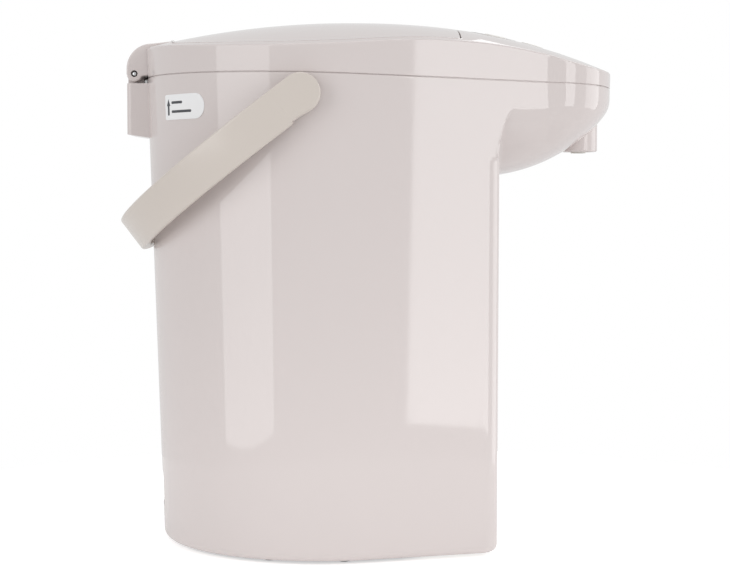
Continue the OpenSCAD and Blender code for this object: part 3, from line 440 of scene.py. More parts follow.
# %% [markdown]
# ## Outer case
# The case is moulded in one with the lower half of the beak. In each direction
# from the axis its section is a short path: a rounded foot, the wall, then
# outwards under the beak and up its side to the seam. Easing that path a few
# times gives the moulded fillet where the bowl of the beak leaves the front.

# %% Section of the case in one direction
SEAM_GAP = 0.28
SEAM_EDGE = 0.35
SEAM_LIP = 1.2
LIP_IN = 1.4
FOOT_ROUND = 4.5
FOOT_IN = 7.5
FOOT_LIFT = 0.4
LOW_Z = 205.0
LOW_ROWS = 15
HIGH_ROWS = 74
EASE = 14


def case_section(turn):
    """(radius, height) from the foot to the seam."""
    foot = case_r(turn, FOOT_GAP)
    rows = [(foot - FOOT_IN, FOOT_GAP + FOOT_LIFT), (foot - FOOT_ROUND, FOOT_GAP)]
    for i in range(1, 7):
        lift = math.radians(15 * i)
        rows.append((foot - FOOT_ROUND + FOOT_ROUND * math.sin(lift),
                     FOOT_GAP + FOOT_ROUND * (1 - math.cos(lift))))
    top = FOOT_GAP + FOOT_ROUND
    rows += climb(case_r, turn, top, LOW_Z - top, LOW_ROWS)
    body, reach = case_r(turn, KEEL_Z), beak_r(turn, KEEL_Z)
    under, edge_z = [], KEEL_Z
    if reach - body > 0.05:
        edge_z = bowl_z(*toward(turn, reach))
        reach = beak_r(turn, edge_z)
        body = case_r(turn, bowl_z(*toward(turn, body)))
        for i in range(41):
            r = body + (reach - body) * (1 - math.cos(math.pi * i / 40)) / 2
            under.append((r, min(edge_z, bowl_z(*toward(turn, r)))))
    wall_top = under[0][1] if under else KEEL_Z
    path = [(case_r(turn, LOW_Z), LOW_Z)] + climb(case_r, turn, LOW_Z, wall_top - LOW_Z, 24) + under
    end = seam_z(beak_r(turn, SEAM_Z) * math.cos(turn)) - SEAM_GAP
    path = resample(path + climb(beak_r, turn, edge_z, end - SEAM_LIP - edge_z, 12), 150)
    for _ in range(EASE):
        path = [path[0]] + [tuple((a + 2 * b + c) / 4 for a, b, c in zip(p, q, r))
                            for p, q, r in zip(path, path[1:], path[2:])] + [path[-1]]
    rows += resample(path, HIGH_ROWS)[1:-1]
    edge = path[-1][0]
    rows += rounded([(edge, end - SEAM_LIP, 0), (edge, end, SEAM_EDGE), (edge - LIP_IN, end, 0)], 3)
    return rows


# %% Outer case, its window, its inlet and the bosses of the handle
WINDOW = dict(half=9.0, low=72.0, high=210.0)
INLET = dict(half=22.0, low=22.0, high=42.0)
PIVOT_X = -9.6
PIVOT_Z = BODY_H - 47.6
CASE_T = WALL - 0.4


def open_panel(bm, half, low, high, in_front):
    """Cuts a rectangular opening in the front or the back of a skin."""
    def chosen(margin):
        found = []
        for face in bm.faces:
            centre = face.calc_center_median() / MM
            ahead = centre.x - AXIS_X
            near = ahead > 60 if in_front else ahead < -60
            inside = abs(centre.y) < half + margin and low - margin < centre.z < high + margin
            if near and inside:
                found.append(face)
        return found
    for point, normal in ((spot(0, half, 0), (0, 1, 0)), (spot(0, -half, 0), (0, 1, 0)),
                          (spot(0, 0, low), (0, 0, 1)), (spot(0, 0, high), (0, 0, 1))):
        faces = chosen(16)
        edges = list({e for f in faces for e in f.edges})
        verts = list({v for f in faces for v in f.verts})
        bmesh.ops.bisect_plane(bm, geom=faces + edges + verts, dist=1e-6, plane_co=point, plane_no=normal)
    bmesh.ops.delete(bm, geom=chosen(-0.01), context="FACES")


case_bm = profile_loft(case_section)
open_panel(case_bm, **WINDOW, in_front=True)
open_panel(case_bm, **INLET, in_front=False)
case = piece("case_skin", case_bm)
thicken(case, CASE_T)
settle(case)
boss_bm = bmesh.new()
for side in (-1, 1):
    ring = [(5.3, -9.0), (8.0, -9.0), (8.0, -0.4), (7.6, 0.0), (5.3, 0.0), (5.3, -9.0)]
    add_spun(boss_bm, ring, spot(PIVOT_X, side * 107.0, PIVOT_Z), (0, side, 0), 48)
bosses = piece("handle_bosses", boss_bm)
keep(case, "pot", "shell", "outer_case")
keep(bosses, "pot", "shell")

# %% [markdown]
# ## Top cover
# The cover carries on from the seam, rolls over a soft shoulder into the dome
# and drops into the well that the lid lies in. A small step under the seam makes
# the fine shadow line that the eye reads as the joint of the two mouldings.

# %% Section of the cover in one direction
RIM_W = 5.5
LID_FRONT = 80.0
LID_GAP = 0.6
LID_Z = BODY_H - 30.0
DECK_Z = LID_Z - 2.0
MOUTH_R = 74.0
HINGE_X = -(BACK_TOP_R + 4.8)
HINGE_Z = BODY_H - 30.8
RELIEF_R = 31.0
DRAFT = 0.27
SHOULDER = 2.6
PASS_Z = crown_z(0, BACK_TOP_R)


def soft_min(a, b, soft):
    """The smaller of two sizes, with the change from one to the other rounded."""
    share = max(0.0, soft - abs(a - b)) / soft
    return min(a, b) - share ** 3 * soft / 6


def lid_edge(turn, z, gap):
    """Radius of the lid's outline at a height: sides, straight front and back."""
    side = flat_side_r(turn, z, RIM_W + gap + DRAFT * (PASS_Z - z))
    ahead = math.cos(turn)
    if ahead > 0.05:
        return soft_min(side, (LID_FRONT + LID_GAP - gap) / ahead, 7.0)
    if ahead < -0.05:
        relief = RELIEF_R - LID_GAP + gap
        back = -HINGE_X - math.sqrt(max(0.0, relief ** 2 - (z - HINGE_Z) ** 2))
        return soft_min(side, -back / ahead, 4.0)
    return side


def crown_at(turn, radius):
    return crown_z(*toward(turn, radius))


def shoulder_at(turn):
    """Where the wall meets the crown."""
    z = PASS_Z
    for _ in range(12):
        z = crown_at(turn, beak_r(turn, z))
    return beak_r(turn, z), z


CROWN_ROWS = 26
COVER_T = 2.2
SEAM_STEP = 1.1
WELL_LIP = 0.7


def cover_section(turn):
    base = beak_r(turn, SEAM_Z)
    seam = seam_z(base * math.cos(turn))
    base = beak_r(turn, seam)
    edge_r, edge_z = shoulder_at(turn)
    well_z = crown_at(turn, lid_edge(turn, PASS_Z, 0.0))
    well_r = lid_edge(turn, well_z, 0.0)
    size = min(SHOULDER, (edge_r - well_r) * 0.45)
    rows = rounded([(base - SEAM_STEP, seam - 2.6, 0), (base - SEAM_STEP, seam + SEAM_GAP, 0),
                    (base, seam + SEAM_GAP, SEAM_EDGE), (base, seam + 1.6, 0)], 3)
    rows += climb(beak_r, turn, seam + 1.6, edge_z - size - seam - 1.6, 6)[:-1]
    inner, outer = edge_r - size, well_r + WELL_LIP
    rows += rounded([(beak_r(turn, edge_z - size), edge_z - size, 0), (edge_r, edge_z, size),
                     (inner, crown_at(turn, inner), 0)], 7)
    for i in range(1, CROWN_ROWS + 1):
        r = inner + (outer - inner) * i / CROWN_ROWS
        rows.append((r, crown_at(turn, r)))
    rows += rounded([(outer, crown_at(turn, outer), 0), (well_r, well_z, 0.6),
                     (lid_edge(turn, well_z - 2, 0.0), well_z - 2, 0)], 3)[1:]
    rows += climb(lid_edge, turn, well_z - 2, DECK_Z - well_z + 2, 5, 0.0)
    deck_r = lid_edge(turn, DECK_Z, 0.0)
    rows += [(deck_r - (deck_r - MOUTH_R) * 0.5, DECK_Z), (MOUTH_R + 0.5, DECK_Z),
             (MOUTH_R, DECK_Z - 0.5)]
    return rows


# %% [markdown]
# The notch for the hinge and the bed for the control panel are cut from the
# finished shell. The panel's outline is rounded with a bevel of its corners, as
# a router would, and the bottom of the bed follows the crown.

# %% Outline of the panel and slabs that follow the crown
PANEL = [(84, -50), (146, -42), (164, -31), (164, 31), (146, 42), (84, 50)]
PANEL_ROUND = 9.0
PANEL_T = 1.2
KEYS = {"dispense_key": (148, 0, 12.0), "unlock_key": (126, -22, 6.5), "reboil_key": (126, 22, 6.5),
        "temperature_key": (103, -33, 6.5), "timer_key": (103, 33, 6.5)}
KEY_GAP = 0.4
SCREEN = (92.0, 114.0, 19.0)
SCREEN_GAP = 0.6
CUT_LOW, CUT_HIGH = 270, 330
SLAB_BACK, SLAB_FRONT, SLAB_HALF = 70, 180, 60


def panel_prism(grow):
    """The panel's outline with round corners, pulled up through the cover."""
    bm = bmesh.new()
    bm.faces.new([bm.verts.new(spot(x, y, CUT_LOW)) for x, y in PANEL])
    round_off(bm, list(bm.verts), PANEL_ROUND * MM, 8, "VERTICES")
    if grow:
        bmesh.ops.inset_individual(bm, faces=list(bm.faces), thickness=-grow * MM, use_even_offset=True)
    pull(bm, 0, CUT_HIGH - CUT_LOW)
    return piece("prism", bm)


def crown_slab(under, over):
    """A slab between two depths below the crown (negative is above it)."""
    bm = bmesh.new()
    bmesh.ops.create_grid(bm, x_segments=48, y_segments=48, size=1.0)
    for vert in bm.verts:
        x = SLAB_BACK + (SLAB_FRONT - SLAB_BACK) * (vert.co.x + 1) / 2
        y = SLAB_HALF * vert.co.y
        vert.co = spot(x, y, crown_z(x, y) - under)
    pull(bm, 0, under - over)
    return piece("slab", bm)


def panel_solid(under, over, grow=0.0):
    return carve(panel_prism(grow), crown_slab(under, over), "INTERSECT", "EXACT")


cover = piece("cover_skin", profile_loft(cover_section))
thicken(cover, COVER_T)
settle(cover)
carve(cover, box_tool(-140, -78.5, -22.6, 22.6, CUT_LOW, CUT_HIGH))
carve(cover, panel_solid(PANEL_T + 0.15, -20, 0.45))
for x, y, r in KEYS.values():
    carve(cover, drum(x, y, r + 1.0, CUT_LOW, CUT_HIGH))
carve(cover, box_tool(SCREEN[0] - SCREEN_GAP, SCREEN[1] + SCREEN_GAP, -SCREEN[2] - SCREEN_GAP,
                      SCREEN[2] + SCREEN_GAP, CUT_LOW, CUT_HIGH))
keep(cover, "pot", "shell", "top_cover")

# %% [markdown]
# ## Lid
# The lid carries the dome across the pot. Its edge is a small radius, its skirt
# closes in downwards so that it can swing past the rim, and its underside is
# recessed for the plate. At the back a block reaches over the rim to the hinge.

# %% Lid and its hinge block
SKIRT_T = 2.5
LEVER_X = LID_FRONT - 10.0
LEVER_Z = BODY_H - 7.0
LEVER_HALF = 18.0
WELL = dict(back=LEVER_X - 24.0, front=LEVER_X + 7.0, floor=LEVER_Z - 5.0)
VENT_X = -45.0
VENT_R = 15.0
HINGE_HALF = 22.0
TONGUE_HALF = 13.0
KNUCKLE_R = 4.7
FACE_X = HINGE_X - KNUCKLE_R
BLOCK_ROUND = 15.0
BLOCK_DROP = 12.8
BORE_R = 2.0
BORE_DEEP = 1.6
LID_ROWS = 34


def lid_section(turn):
    top = crown_at(turn, lid_edge(turn, PASS_Z, LID_GAP))
    edge = lid_edge(turn, top, LID_GAP)
    rows = []
    for i in range(1, LID_ROWS + 1):
        r = (edge - 0.8) * (i / LID_ROWS) ** 0.8
        rows.append((r, crown_at(turn, r)))
    rows += rounded([(edge - 0.8, crown_at(turn, edge - 0.8), 0), (edge, top, 0.75),
                     (lid_edge(turn, top - 2, LID_GAP), top - 2, 0)], 4)[1:]
    rows += climb(lid_edge, turn, top - 2, LID_Z - top + 2, 5, LID_GAP)
    foot = lid_edge(turn, LID_Z, LID_GAP)
    rows += [(foot - SKIRT_T, LID_Z), (foot - SKIRT_T, LID_Z + 2.6), (4.0, LID_Z + 2.6)]
    return rows


def knuckle():
    """The block over the rim: its profile pulled across the hinge, then bevelled."""
    arc_x, arc_z = FACE_X + BLOCK_ROUND, BODY_H - BLOCK_DROP - BLOCK_ROUND
    front = HINGE_X + RELIEF_R + 2
    outline = [(FACE_X, HINGE_Z)]
    for i in range(13):
        lift = math.radians(180 - 7.5 * i)
        outline.append((arc_x + BLOCK_ROUND * math.cos(lift), arc_z + BLOCK_ROUND * math.sin(lift)))
    outline += [(front, crown_z(front, HINGE_HALF) - 0.3), (front, LID_Z + 1),
                (HINGE_X + KNUCKLE_R, HINGE_Z - 1.5)]
    for i in range(1, 8):
        lift = math.radians(-22.5 * i)
        outline.append((HINGE_X + KNUCKLE_R * math.cos(lift), HINGE_Z + KNUCKLE_R * math.sin(lift)))
    return pull_across(outline, HINGE_HALF, 1.1)


def pull_across(outline, half, edge):
    """A profile in the pot's middle plane, pulled to both sides, its rims rounded."""
    bm = bmesh.new()
    bm.faces.new([bm.verts.new(spot(x, -half, z)) for x, z in outline])
    pull(bm, 2 * half, 0)
    rims = [e for e in bm.edges if abs(e.verts[0].co.y - e.verts[1].co.y) < 1e-6]
    round_off(bm, rims, edge * MM, 4)
    return bm


lid = piece("lid_skin", profile_loft(lid_section, True))
carve(lid, piece("knuckle", knuckle()), "UNION")
carve(lid, box_tool(FACE_X - 3, HINGE_X + KNUCKLE_R + 3, -TONGUE_HALF - 0.4, TONGUE_HALF + 0.4,
                    260, HINGE_Z + KNUCKLE_R + 1.4))
carve(lid, box_tool(WELL["back"], WELL["front"], -LEVER_HALF - 0.5, LEVER_HALF + 0.5,
                    WELL["floor"], CUT_HIGH))
carve(lid, box_tool(LEVER_X - 5, WELL["front"] - 0.01, -LEVER_HALF - 0.49, LEVER_HALF + 0.49,
                    WELL["floor"] - 3.0, WELL["floor"] + 0.5))
carve(lid, box_tool(LEVER_X - 22, LID_FRONT + 2, -8.6, 8.6, 291.5, WELL["floor"] + 0.5))
carve(lid, drum(VENT_X, 0, VENT_R + 0.35, crown_z(VENT_X, 0) - 6, CUT_HIGH))
for side in (-1, 1):
    carve(lid, rod(spot(HINGE_X, side * HINGE_HALF, HINGE_Z), BORE_R, BORE_DEEP, 32, True))
keep(lid, "lid", "shell", "lid_shell")

# %% [markdown]
# ## Hinge bracket and pin
# A block screwed to the back carries the pin between the lid's two ears. It is a
# profile pulled across the pot, with generous radii on its upright rear edges.

# %% Bracket
BRACKET_LOW = BODY_H - 69.0
BRACKET_TOP = HINGE_Z - KNUCKLE_R - 1.0
PIN_END = HINGE_HALF - 0.75
PIN_R = 1.5


def upright_rounding(bm, size):
    """Rounds the long upright edges at the back of a block."""
    back = [e for e in bm.edges
            if abs(e.verts[0].co.z - e.verts[1].co.z) > 0.01
            and max(v.co.x for v in e.verts) < (FACE_X + AXIS_X + 0.5) * MM]
    round_off(bm, back, size * MM, 6)


bracket_bm = bmesh.new()
add_block(bracket_bm, FACE_X, -BACK_FOOT_R, -HINGE_HALF, HINGE_HALF, BRACKET_LOW, BRACKET_TOP)
for vert in bracket_bm.verts:
    if vert.co.z < (BRACKET_LOW + 1) * MM:
        ahead = vert.co.x > (FACE_X + AXIS_X + 1) * MM
        vert.co.z += (-1.0 if ahead else 2.0) * MM
upright_rounding(bracket_bm, 3.0)
bracket = piece("bracket_skin", bracket_bm)
tongue = box_tool(FACE_X, HINGE_X + KNUCKLE_R, -TONGUE_HALF, TONGUE_HALF, BRACKET_TOP - 4, HINGE_Z)
carve(bracket, tongue, "UNION", "EXACT")
barrel = rod(spot(HINGE_X, 0, HINGE_Z), KNUCKLE_R, 2 * TONGUE_HALF, 48, True)
carve(bracket, barrel, "UNION", "EXACT")
keep(bracket, "pot", "shell", "hinge_bracket")
pin_bm = bmesh.new()
add_spun(pin_bm, [(0, -PIN_END), (1.1, -PIN_END), (PIN_R, 0.5 - PIN_END), (PIN_R, PIN_END - 0.5),
                  (1.1, PIN_END), (0, PIN_END)], spot(HINGE_X, 0, HINGE_Z), (0, 1, 0), 32)
keep(piece("hinge_rod", pin_bm, 60), "pot", "steel", "hinge_pin")

# %% [markdown]
# ## Handle
# The bail is one strap that runs from pivot to pivot round the back. It is
# lofted along its middle line: every ring is a rounded rectangle as thick as the
# strap, and near each pivot the rings narrow along a half circle, which gives the
# round ends. A shallow step on the lower edge lets the strap clear its stop.

# %% Strap of the handle
ARM_T = 7.5
GRIP_T = 6.0
STRAP_HALF = 11.25
REST = math.radians(37.2)
HANDLE_HALF = BACK_TOP_R + ARM_T
HANDLE_REACH = BACK_TOP_R + 25.5
BEND_R = HANDLE_REACH - 23.0
EDGE_R = 1.5
END_STEPS = 14
STEP_IN = 1.1
STEP_END = 13.2
NEAR_RUNS = [0.0, 1.0, 4.0, 7.0, 10.0, 13.0, 13.4]
FIRST_RUN = 15
RUN_STEP = 5.5


def strap_line(share):
    """Point, outward direction and thickness of the strap's middle, from pivot to pivot."""
    straight = HANDLE_REACH - BEND_R
    flat = HANDLE_HALF - BEND_R
    arc = BEND_R * math.pi / 2
    run = share * 2 * (straight + arc + flat)
    side = 1
    if run > straight + arc + flat:
        run, side = 2 * (straight + arc + flat) - run, -1
    if run <= straight:
        return (run, side * HANDLE_HALF), (0, side), ARM_T
    if run <= straight + arc:
        turn = (run - straight) / BEND_R
        point = (straight + BEND_R * math.sin(turn), side * (flat + BEND_R * math.cos(turn)))
        thick = ARM_T + (GRIP_T - ARM_T) * (turn / (math.pi / 2))
        return point, (math.sin(turn), side * math.cos(turn)), thick
    return (HANDLE_REACH, side * (straight + arc + flat - run)), (1, 0), GRIP_T


def strap_ring(point, outward, thick, upper, lower):
    """A rounded rectangle across the strap: its outer face lies on the line."""
    size = min(EDGE_R, (upper + lower) * 0.4)
    ring = []
    corners = ((-size, upper - size, 0), (-size, -lower + size, -90),
               (size - thick, -lower + size, -180), (size - thick, upper - size, -270))
    for depth, height, start in corners:
        for i in range(5):
            lift = math.radians(start + 90 - 22.5 * i)
            ring.append((depth + size * math.cos(lift), height + size * math.sin(lift)))
    places = []
    for depth, height in ring:
        along = Vector((point[0] + outward[0] * depth, point[1] + outward[1] * depth, height))
        places.append(tilt_handle(along))
    return places


def tilt_handle(along):
    """From the handle's own plane to its rest, hanging behind the pot."""
    ahead = -along.x * math.cos(REST) + along.z * math.sin(REST)
    up = -along.x * math.sin(REST) - along.z * math.cos(REST)
    return spot(PIVOT_X + ahead, along.y, PIVOT_Z + up)


def lower_half(run):
    """Half width on the lower edge: a shallow step between 1 and 13.2 mm from the pivot."""
    if 1.0 < run < STEP_END:
        return STRAP_HALF - STEP_IN * min(1.0, (run - 1.0) / 9.0)
    return STRAP_HALF


def round_end(side):
    """Rings of the half circle at one pivot, from its tip to the strap."""
    rings = []
    for i in range(END_STEPS):
        lift = math.radians(4 + 86 * i / END_STEPS)
        half = STRAP_HALF * math.sin(lift)
        middle = (-STRAP_HALF * math.cos(lift), side * HANDLE_HALF)
        rings.append(strap_ring(middle, (0, side), ARM_T, half, half))
    return rings


STRAP_LENGTH = 2 * (HANDLE_REACH - BEND_R + BEND_R * math.pi / 2 + HANDLE_HALF - BEND_R)
inner_runs = [FIRST_RUN + RUN_STEP * i for i in range(69)]
runs = NEAR_RUNS + [run for run in inner_runs if run < STRAP_LENGTH - FIRST_RUN]
runs += [STRAP_LENGTH - run for run in reversed(NEAR_RUNS)]
strap_rings = round_end(1)
for run in runs:
    point, outward, thick = strap_line(run / STRAP_LENGTH)
    near = min(run, STRAP_LENGTH - run)
    strap_rings.append(strap_ring(point, outward, thick, lower_half(near), STRAP_HALF))
strap_rings += reversed(round_end(-1))
handle = piece("handle_strap", loft(strap_rings, True), 30)
keep(handle, "handle_body", "handle_plastic", "handle")

# %% [markdown]
# ## Spout
# A short turned tube under the beak. Its outlet is a ring with a soft edge, and
# the end of the water pipe shows inside it.

# %% Spout
SPOUT_X = 156.5
SPOUT_R = 11.5
SPOUT_Z = BODY_H - 77.0
PIPE_R = 4.5
PIPE_UP = 5.0
BORE_IN = SPOUT_R - 2.5

spout_bm = bmesh.new()
spout_h = KEEL_Z - SPOUT_Z
outlet = rounded([(BORE_IN, PIPE_UP, 0), (BORE_IN, 0, 0.6), (SPOUT_R, 0, 1.6), (SPOUT_R, spout_h, 0)], 5)
outlet += [(PIPE_R, spout_h), (PIPE_R, PIPE_UP), (BORE_IN, PIPE_UP)]
add_spun(spout_bm, outlet, spot(SPOUT_X, 0, SPOUT_Z), (0, 0, 1), 72)
keep(piece("spout_tube", spout_bm, 40), "pot", "shell", "spout")

# %% [markdown]
# ## Side label
# A small white film with one round end, and on it an upright arrow and two plain
# bars. It is drawn flat, cut into narrow strips so that it can bend, and every
# point is then laid on the case.

# %% Label and its print
LABEL_TURN = math.radians(222.0 - 360.0)
LABEL_Z = BODY_H - 53.0
LABEL_L = 38.0
LABEL_H = 14.5
STRIP = 1.5
FILM_T = 0.3
PRINT_LIFT, PRINT_T = 0.32, 0.06
ARROW = [(-1.0, -4.6), (1.0, -4.6), (1.0, 0.8), (2.0, 0.8), (0.0, 4.8), (-2.0, 0.8), (-1.0, 0.8)]
ARROW_X = -14.0
BARS = ((-10.5, 0.5, 2.6), (-10.5, 8.5, -2.6))
BAR_HALF = 0.75


def on_case(x, y, height):
    z = LABEL_Z + y
    turn = LABEL_TURN + x / back_r(LABEL_Z)
    return round_spot(turn, case_r(turn, z) + height, z)


def lay_on_case(bm, lift, thickness):
    """Bends a flat drawing (x along, y up, in millimetres) onto the case."""
    reach = int(LABEL_L / 2 / STRIP)
    cuts = [((i * STRIP, 0, 0), (1, 0, 0)) for i in range(-reach, reach + 1)]
    return drape(bm, cuts, on_case, lift, thickness)


def flat(points, radii):
    """A flat outline whose corners are rounded by their own radii."""
    bm = bmesh.new()
    verts = [bm.verts.new((x, y, 0)) for x, y in points]
    bm.faces.new(verts)
    for radius in sorted(set(radii) - {0}):
        round_off(bm, [v for v, r in zip(verts, radii) if r == radius], radius, 8, "VERTICES")
    return bm


def box_flat(x0, x1, y0, y1, radii):
    return flat([(x0, y0), (x1, y0), (x1, y1), (x0, y1)], radii)


half_h = LABEL_H / 2
label_bm = box_flat(1 - LABEL_L / 2, LABEL_L / 2, -half_h, half_h, [1.5, half_h * 0.98, half_h * 0.98, 1.5])
keep(piece("label_film", lay_on_case(label_bm, 0.05, FILM_T), 50), "pot", "label", "side_label")
arrow_bm = flat([(x + ARROW_X, y) for x, y in ARROW], [0] * len(ARROW))
arrow = piece("label_arrow", lay_on_case(arrow_bm, PRINT_LIFT, PRINT_T), 50)
label_print = [keep(arrow, "pot", "label")]
for number, (x0, x1, y) in enumerate(BARS):
    bar = box_flat(x0, x1, y - BAR_HALF, y + BAR_HALF, [BAR_HALF * 0.9] * 4)
    mark = piece(f"label_bar_{number + 1}", lay_on_case(bar, PRINT_LIFT, PRINT_T), 50)
    label_print.append(keep(mark, "pot", "label"))

# %% [markdown]
# ## Control panel, keys and screen
# The panel is a thin film moulding let into the crown. Its outline and the crown
# are the same shapes that cut its bed, so it fits with an even gap. Keys stand a
# little proud, and plain printed rings and numbers tell them apart.

# %% Panel, keys and their print
RING_IN, RING_OUT = 1.5, 2.0
DIGIT_X, DIGIT_Y, DIGIT_STEP = 103.0, -4.5, 9
STEM_R = 2.2
BOARD_Z, BOARD_T, SWITCH_H, KEY_ROOM = DECK_Z - 2.5, 1.6, 2.0, 1.2
STEM_LOW = BOARD_Z + BOARD_T + SWITCH_H + KEY_ROOM
panel = panel_solid(PANEL_T, 0)
panel.name = "panel_film"
for x, y, r in KEYS.values():
    carve(panel, drum(x, y, r + KEY_GAP, CUT_LOW, CUT_HIGH), solver="EXACT")
keep(panel, "pot", "panel", "control_panel")


def key_cap(name, x, y, r):
    """A cap that follows the crown, with a rounded rim, on a short stem."""
    rows = [(0.02, 0.6), (r * 0.35, 0.6), (r * 0.7, 0.6), (r - 1.0, 0.55), (r - 0.45, 0.4),
            (r - 0.12, 0.1), (r, -0.3), (r, -3.2)]
    rings = []
    for radius, lift in rows:
        ring = []
        for i in range(64):
            a = 2 * math.pi * i / 64
            px, py = x + radius * math.cos(a), y + radius * math.sin(a)
            base = crown_z(px, py) if lift > -3 else crown_z(x + r, abs(y) + r)
            ring.append(spot(px, py, base + lift))
        rings.append(ring)
    return piece(name, loft(rings, True), 50)


for name, (x, y, r) in KEYS.items():
    cap = key_cap(name.replace("_key", "_cap"), x, y, r)
    stem_x = x - 4 if name == "dispense_key" else x
    carve(cap, drum(stem_x, y, STEM_R, STEM_LOW, crown_z(x, y) - 2.5, 24), "UNION")
    keep(cap, name + "_body", "key", name)


def on_crown(x, y, height):
    return spot(x, y, crown_z(x, y) + height)


def lay_on_crown(bm, lift, thickness):
    """Lays a flat drawing (millimetres in the plan) on the crown."""
    cuts = []
    for axis in (Vector((1, 0, 0)), Vector((0, 1, 0))):
        along = [v.co.dot(axis) for v in bm.verts]
        low, high = min(along), max(along)
        steps = max(1, int((high - low) / 4))
        cuts += [(axis * (low + (high - low) * i / steps), axis) for i in range(1, steps)]
    return drape(bm, cuts, on_crown, lift, thickness)


def ring_print(x, y, inner, outer):
    bm = bmesh.new()
    bmesh.ops.create_circle(bm, cap_ends=True, segments=64, radius=outer)
    bmesh.ops.inset_region(bm, faces=bm.faces[:], thickness=outer - inner, use_boundary=True,
                           use_even_offset=True)
    middle = max(bm.faces, key=lambda f: len(f.verts))
    bmesh.ops.delete(bm, geom=[middle], context="FACES_ONLY")
    bmesh.ops.translate(bm, vec=(x, y, 0), verts=bm.verts)
    return bm


prints = []
for name, (x, y, r) in KEYS.items():
    ring = lay_on_crown(ring_print(x, y, r + RING_IN, r + RING_OUT), 0.0, 0.05)
    prints.append(keep(piece(name.replace("_key", "_ring"), ring, 50), "pot", "panel"))
screen_frame = box_flat(89.5, 116.5, -22, 22, [3, 3, 3, 3])
screen_glass = piece("screen_glass", lay_on_crown(screen_frame, 0.0, 0.25), 50)
keep(screen_glass, "pot", "dark_plastic", "display")

SEGMENTS = {"9": "abcdfg", "8": "abcdefg"}
SEGMENT_PLACES = {"a": (0, 5, 0), "b": (2.2, 2.5, 1), "c": (2.2, -2.5, 1), "d": (0, -5, 0),
                  "e": (-2.2, -2.5, 1), "f": (-2.2, 2.5, 1), "g": (0, 0, 0)}


def digit(bm, figure, x, y):
    """One figure of the screen: bars that lie along it or stand up, read from the front."""
    for letter in SEGMENTS[figure]:
        across, up, upright = SEGMENT_PLACES[letter]
        half_x, half_y = (2.0, 0.45) if upright else (0.45, 1.7)
        centre = Vector((x - up, y + across, 0))
        corners = ((-half_x, -half_y), (half_x, -half_y), (half_x, half_y), (-half_x, half_y))
        bm.faces.new([bm.verts.new(centre + Vector((a, b, 0))) for a, b in corners])


digits_bm = bmesh.new()
for number, figure in enumerate("98"):
    digit(digits_bm, figure, DIGIT_X, DIGIT_Y + DIGIT_STEP * number)
screen_digits = piece("screen_digits", lay_on_crown(digits_bm, 0.27, 0.05), 50)
keep(screen_digits, "pot", "panel")

# %% [markdown]
# ## Lever, vent and the small pieces that show
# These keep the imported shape. A merged copy of each gets its hard edges rounded,
# because real mouldings have no knife edges and a rounded edge catches the light.


# %% Merged copies with rounded edges
SHARP = 30.0
MERGED = (("lid_lever", 0.5, "lever_body", "handle_plastic"), ("steam_vent", 0.3, "lid", "inner_plastic"),
          ("power_inlet", 0.5, "pot", "dark_plastic"), ("gauge_window", 0.15, "pot", "clear"),
          ("turntable", 0.5, "turntable_body", "dark_plastic"),
          ("turntable_pads", 0.4, "turntable_body", "rubber"), ("base_cover", 0.0, "pot", "inner_plastic"),
          ("base_screws", 0.3, "pot", "steel"), ("turntable_screw", 0.3, "pot", "steel"),
          ("lid_plate", 0.3, "lid", "inner_plastic"), ("inner_cover", 0.4, "lid", "steel"),
          ("lid_gasket", 0.4, "lid", "rubber"), ("vessel_collar", 0.4, "pot", "inner_plastic"))


def refined(node, width, body, slot):
    """A merged copy of a CAD node whose sharp edges are rounded by a modifier."""
    bm = bmesh.new()
    bm.from_mesh(nodes[node].data)
    bmesh.ops.remove_doubles(bm, verts=bm.verts, dist=2e-6)
    bmesh.ops.dissolve_limit(bm, angle_limit=math.radians(1.0), verts=bm.verts, edges=bm.edges)
    thing = piece(node + "_finished", bm, SHARP)
    if width:
        soft = thing.modifiers.new("edges", "BEVEL")
        soft.width = width * MM
        soft.segments = 2
        soft.limit_method = "ANGLE"
        soft.angle_limit = math.radians(SHARP)
        soft.use_clamp_overlap = True
        settle(thing, SHARP)
    keep(thing, body, slot, node)


for row in MERGED:
    refined(*row)

# %% [markdown]
# The gauge window carries a plain scale: short bars at even steps, longer at every
# second one, printed on the inside of the clear strip.

# %% Scale of the water gauge
SCALE_X0, SCALE_X1 = FRONT_X - 0.39, FRONT_X - 0.33
SCALE_Y = -7.5
SCALE_STEP = 13.5
MARK_HALF = 0.35
scale_bm = bmesh.new()
for step in range(9):
    z = WINDOW["low"] + 14 + SCALE_STEP * step
    reach = 5.5 if step % 2 == 0 else 3.5
    add_block(scale_bm, SCALE_X0, SCALE_X1, SCALE_Y, SCALE_Y + reach, z - MARK_HALF, z + MARK_HALF)
keep(piece("gauge_scale", scale_bm, 50), "pot", "panel")

# %% [markdown]
# ## Finishes
# Each finish is a small node tree. Sums on its values are written as plain
# Python: a wrapped socket adds a Math node for every operator. Any other node
# comes from one method that sets the node up and then feeds its inputs.


# %% Values and nodes
class Value:
    """A number that varies over a surface, ready for sums."""

    def __init__(self, paint, socket):
        self.paint = paint
        self.socket = socket

    def sum(self, operation, first, second):
        node = self.paint.add("ShaderNodeMath", {"operation": operation}, {0: first, 1: second})
        return Value(self.paint, node.outputs[0])

    def __add__(self, other):
        return self.sum("ADD", self, other)

    def __radd__(self, other):
        return self.sum("ADD", other, self)

    def __sub__(self, other):
        return self.sum("SUBTRACT", self, other)

    def __rsub__(self, other):
        return self.sum("SUBTRACT", other, self)

    def __mul__(self, other):
        return self.sum("MULTIPLY", self, other)

    def __rmul__(self, other):
        return self.sum("MULTIPLY", other, self)

    def most(self, other):
        return self.sum("MAXIMUM", self, other)


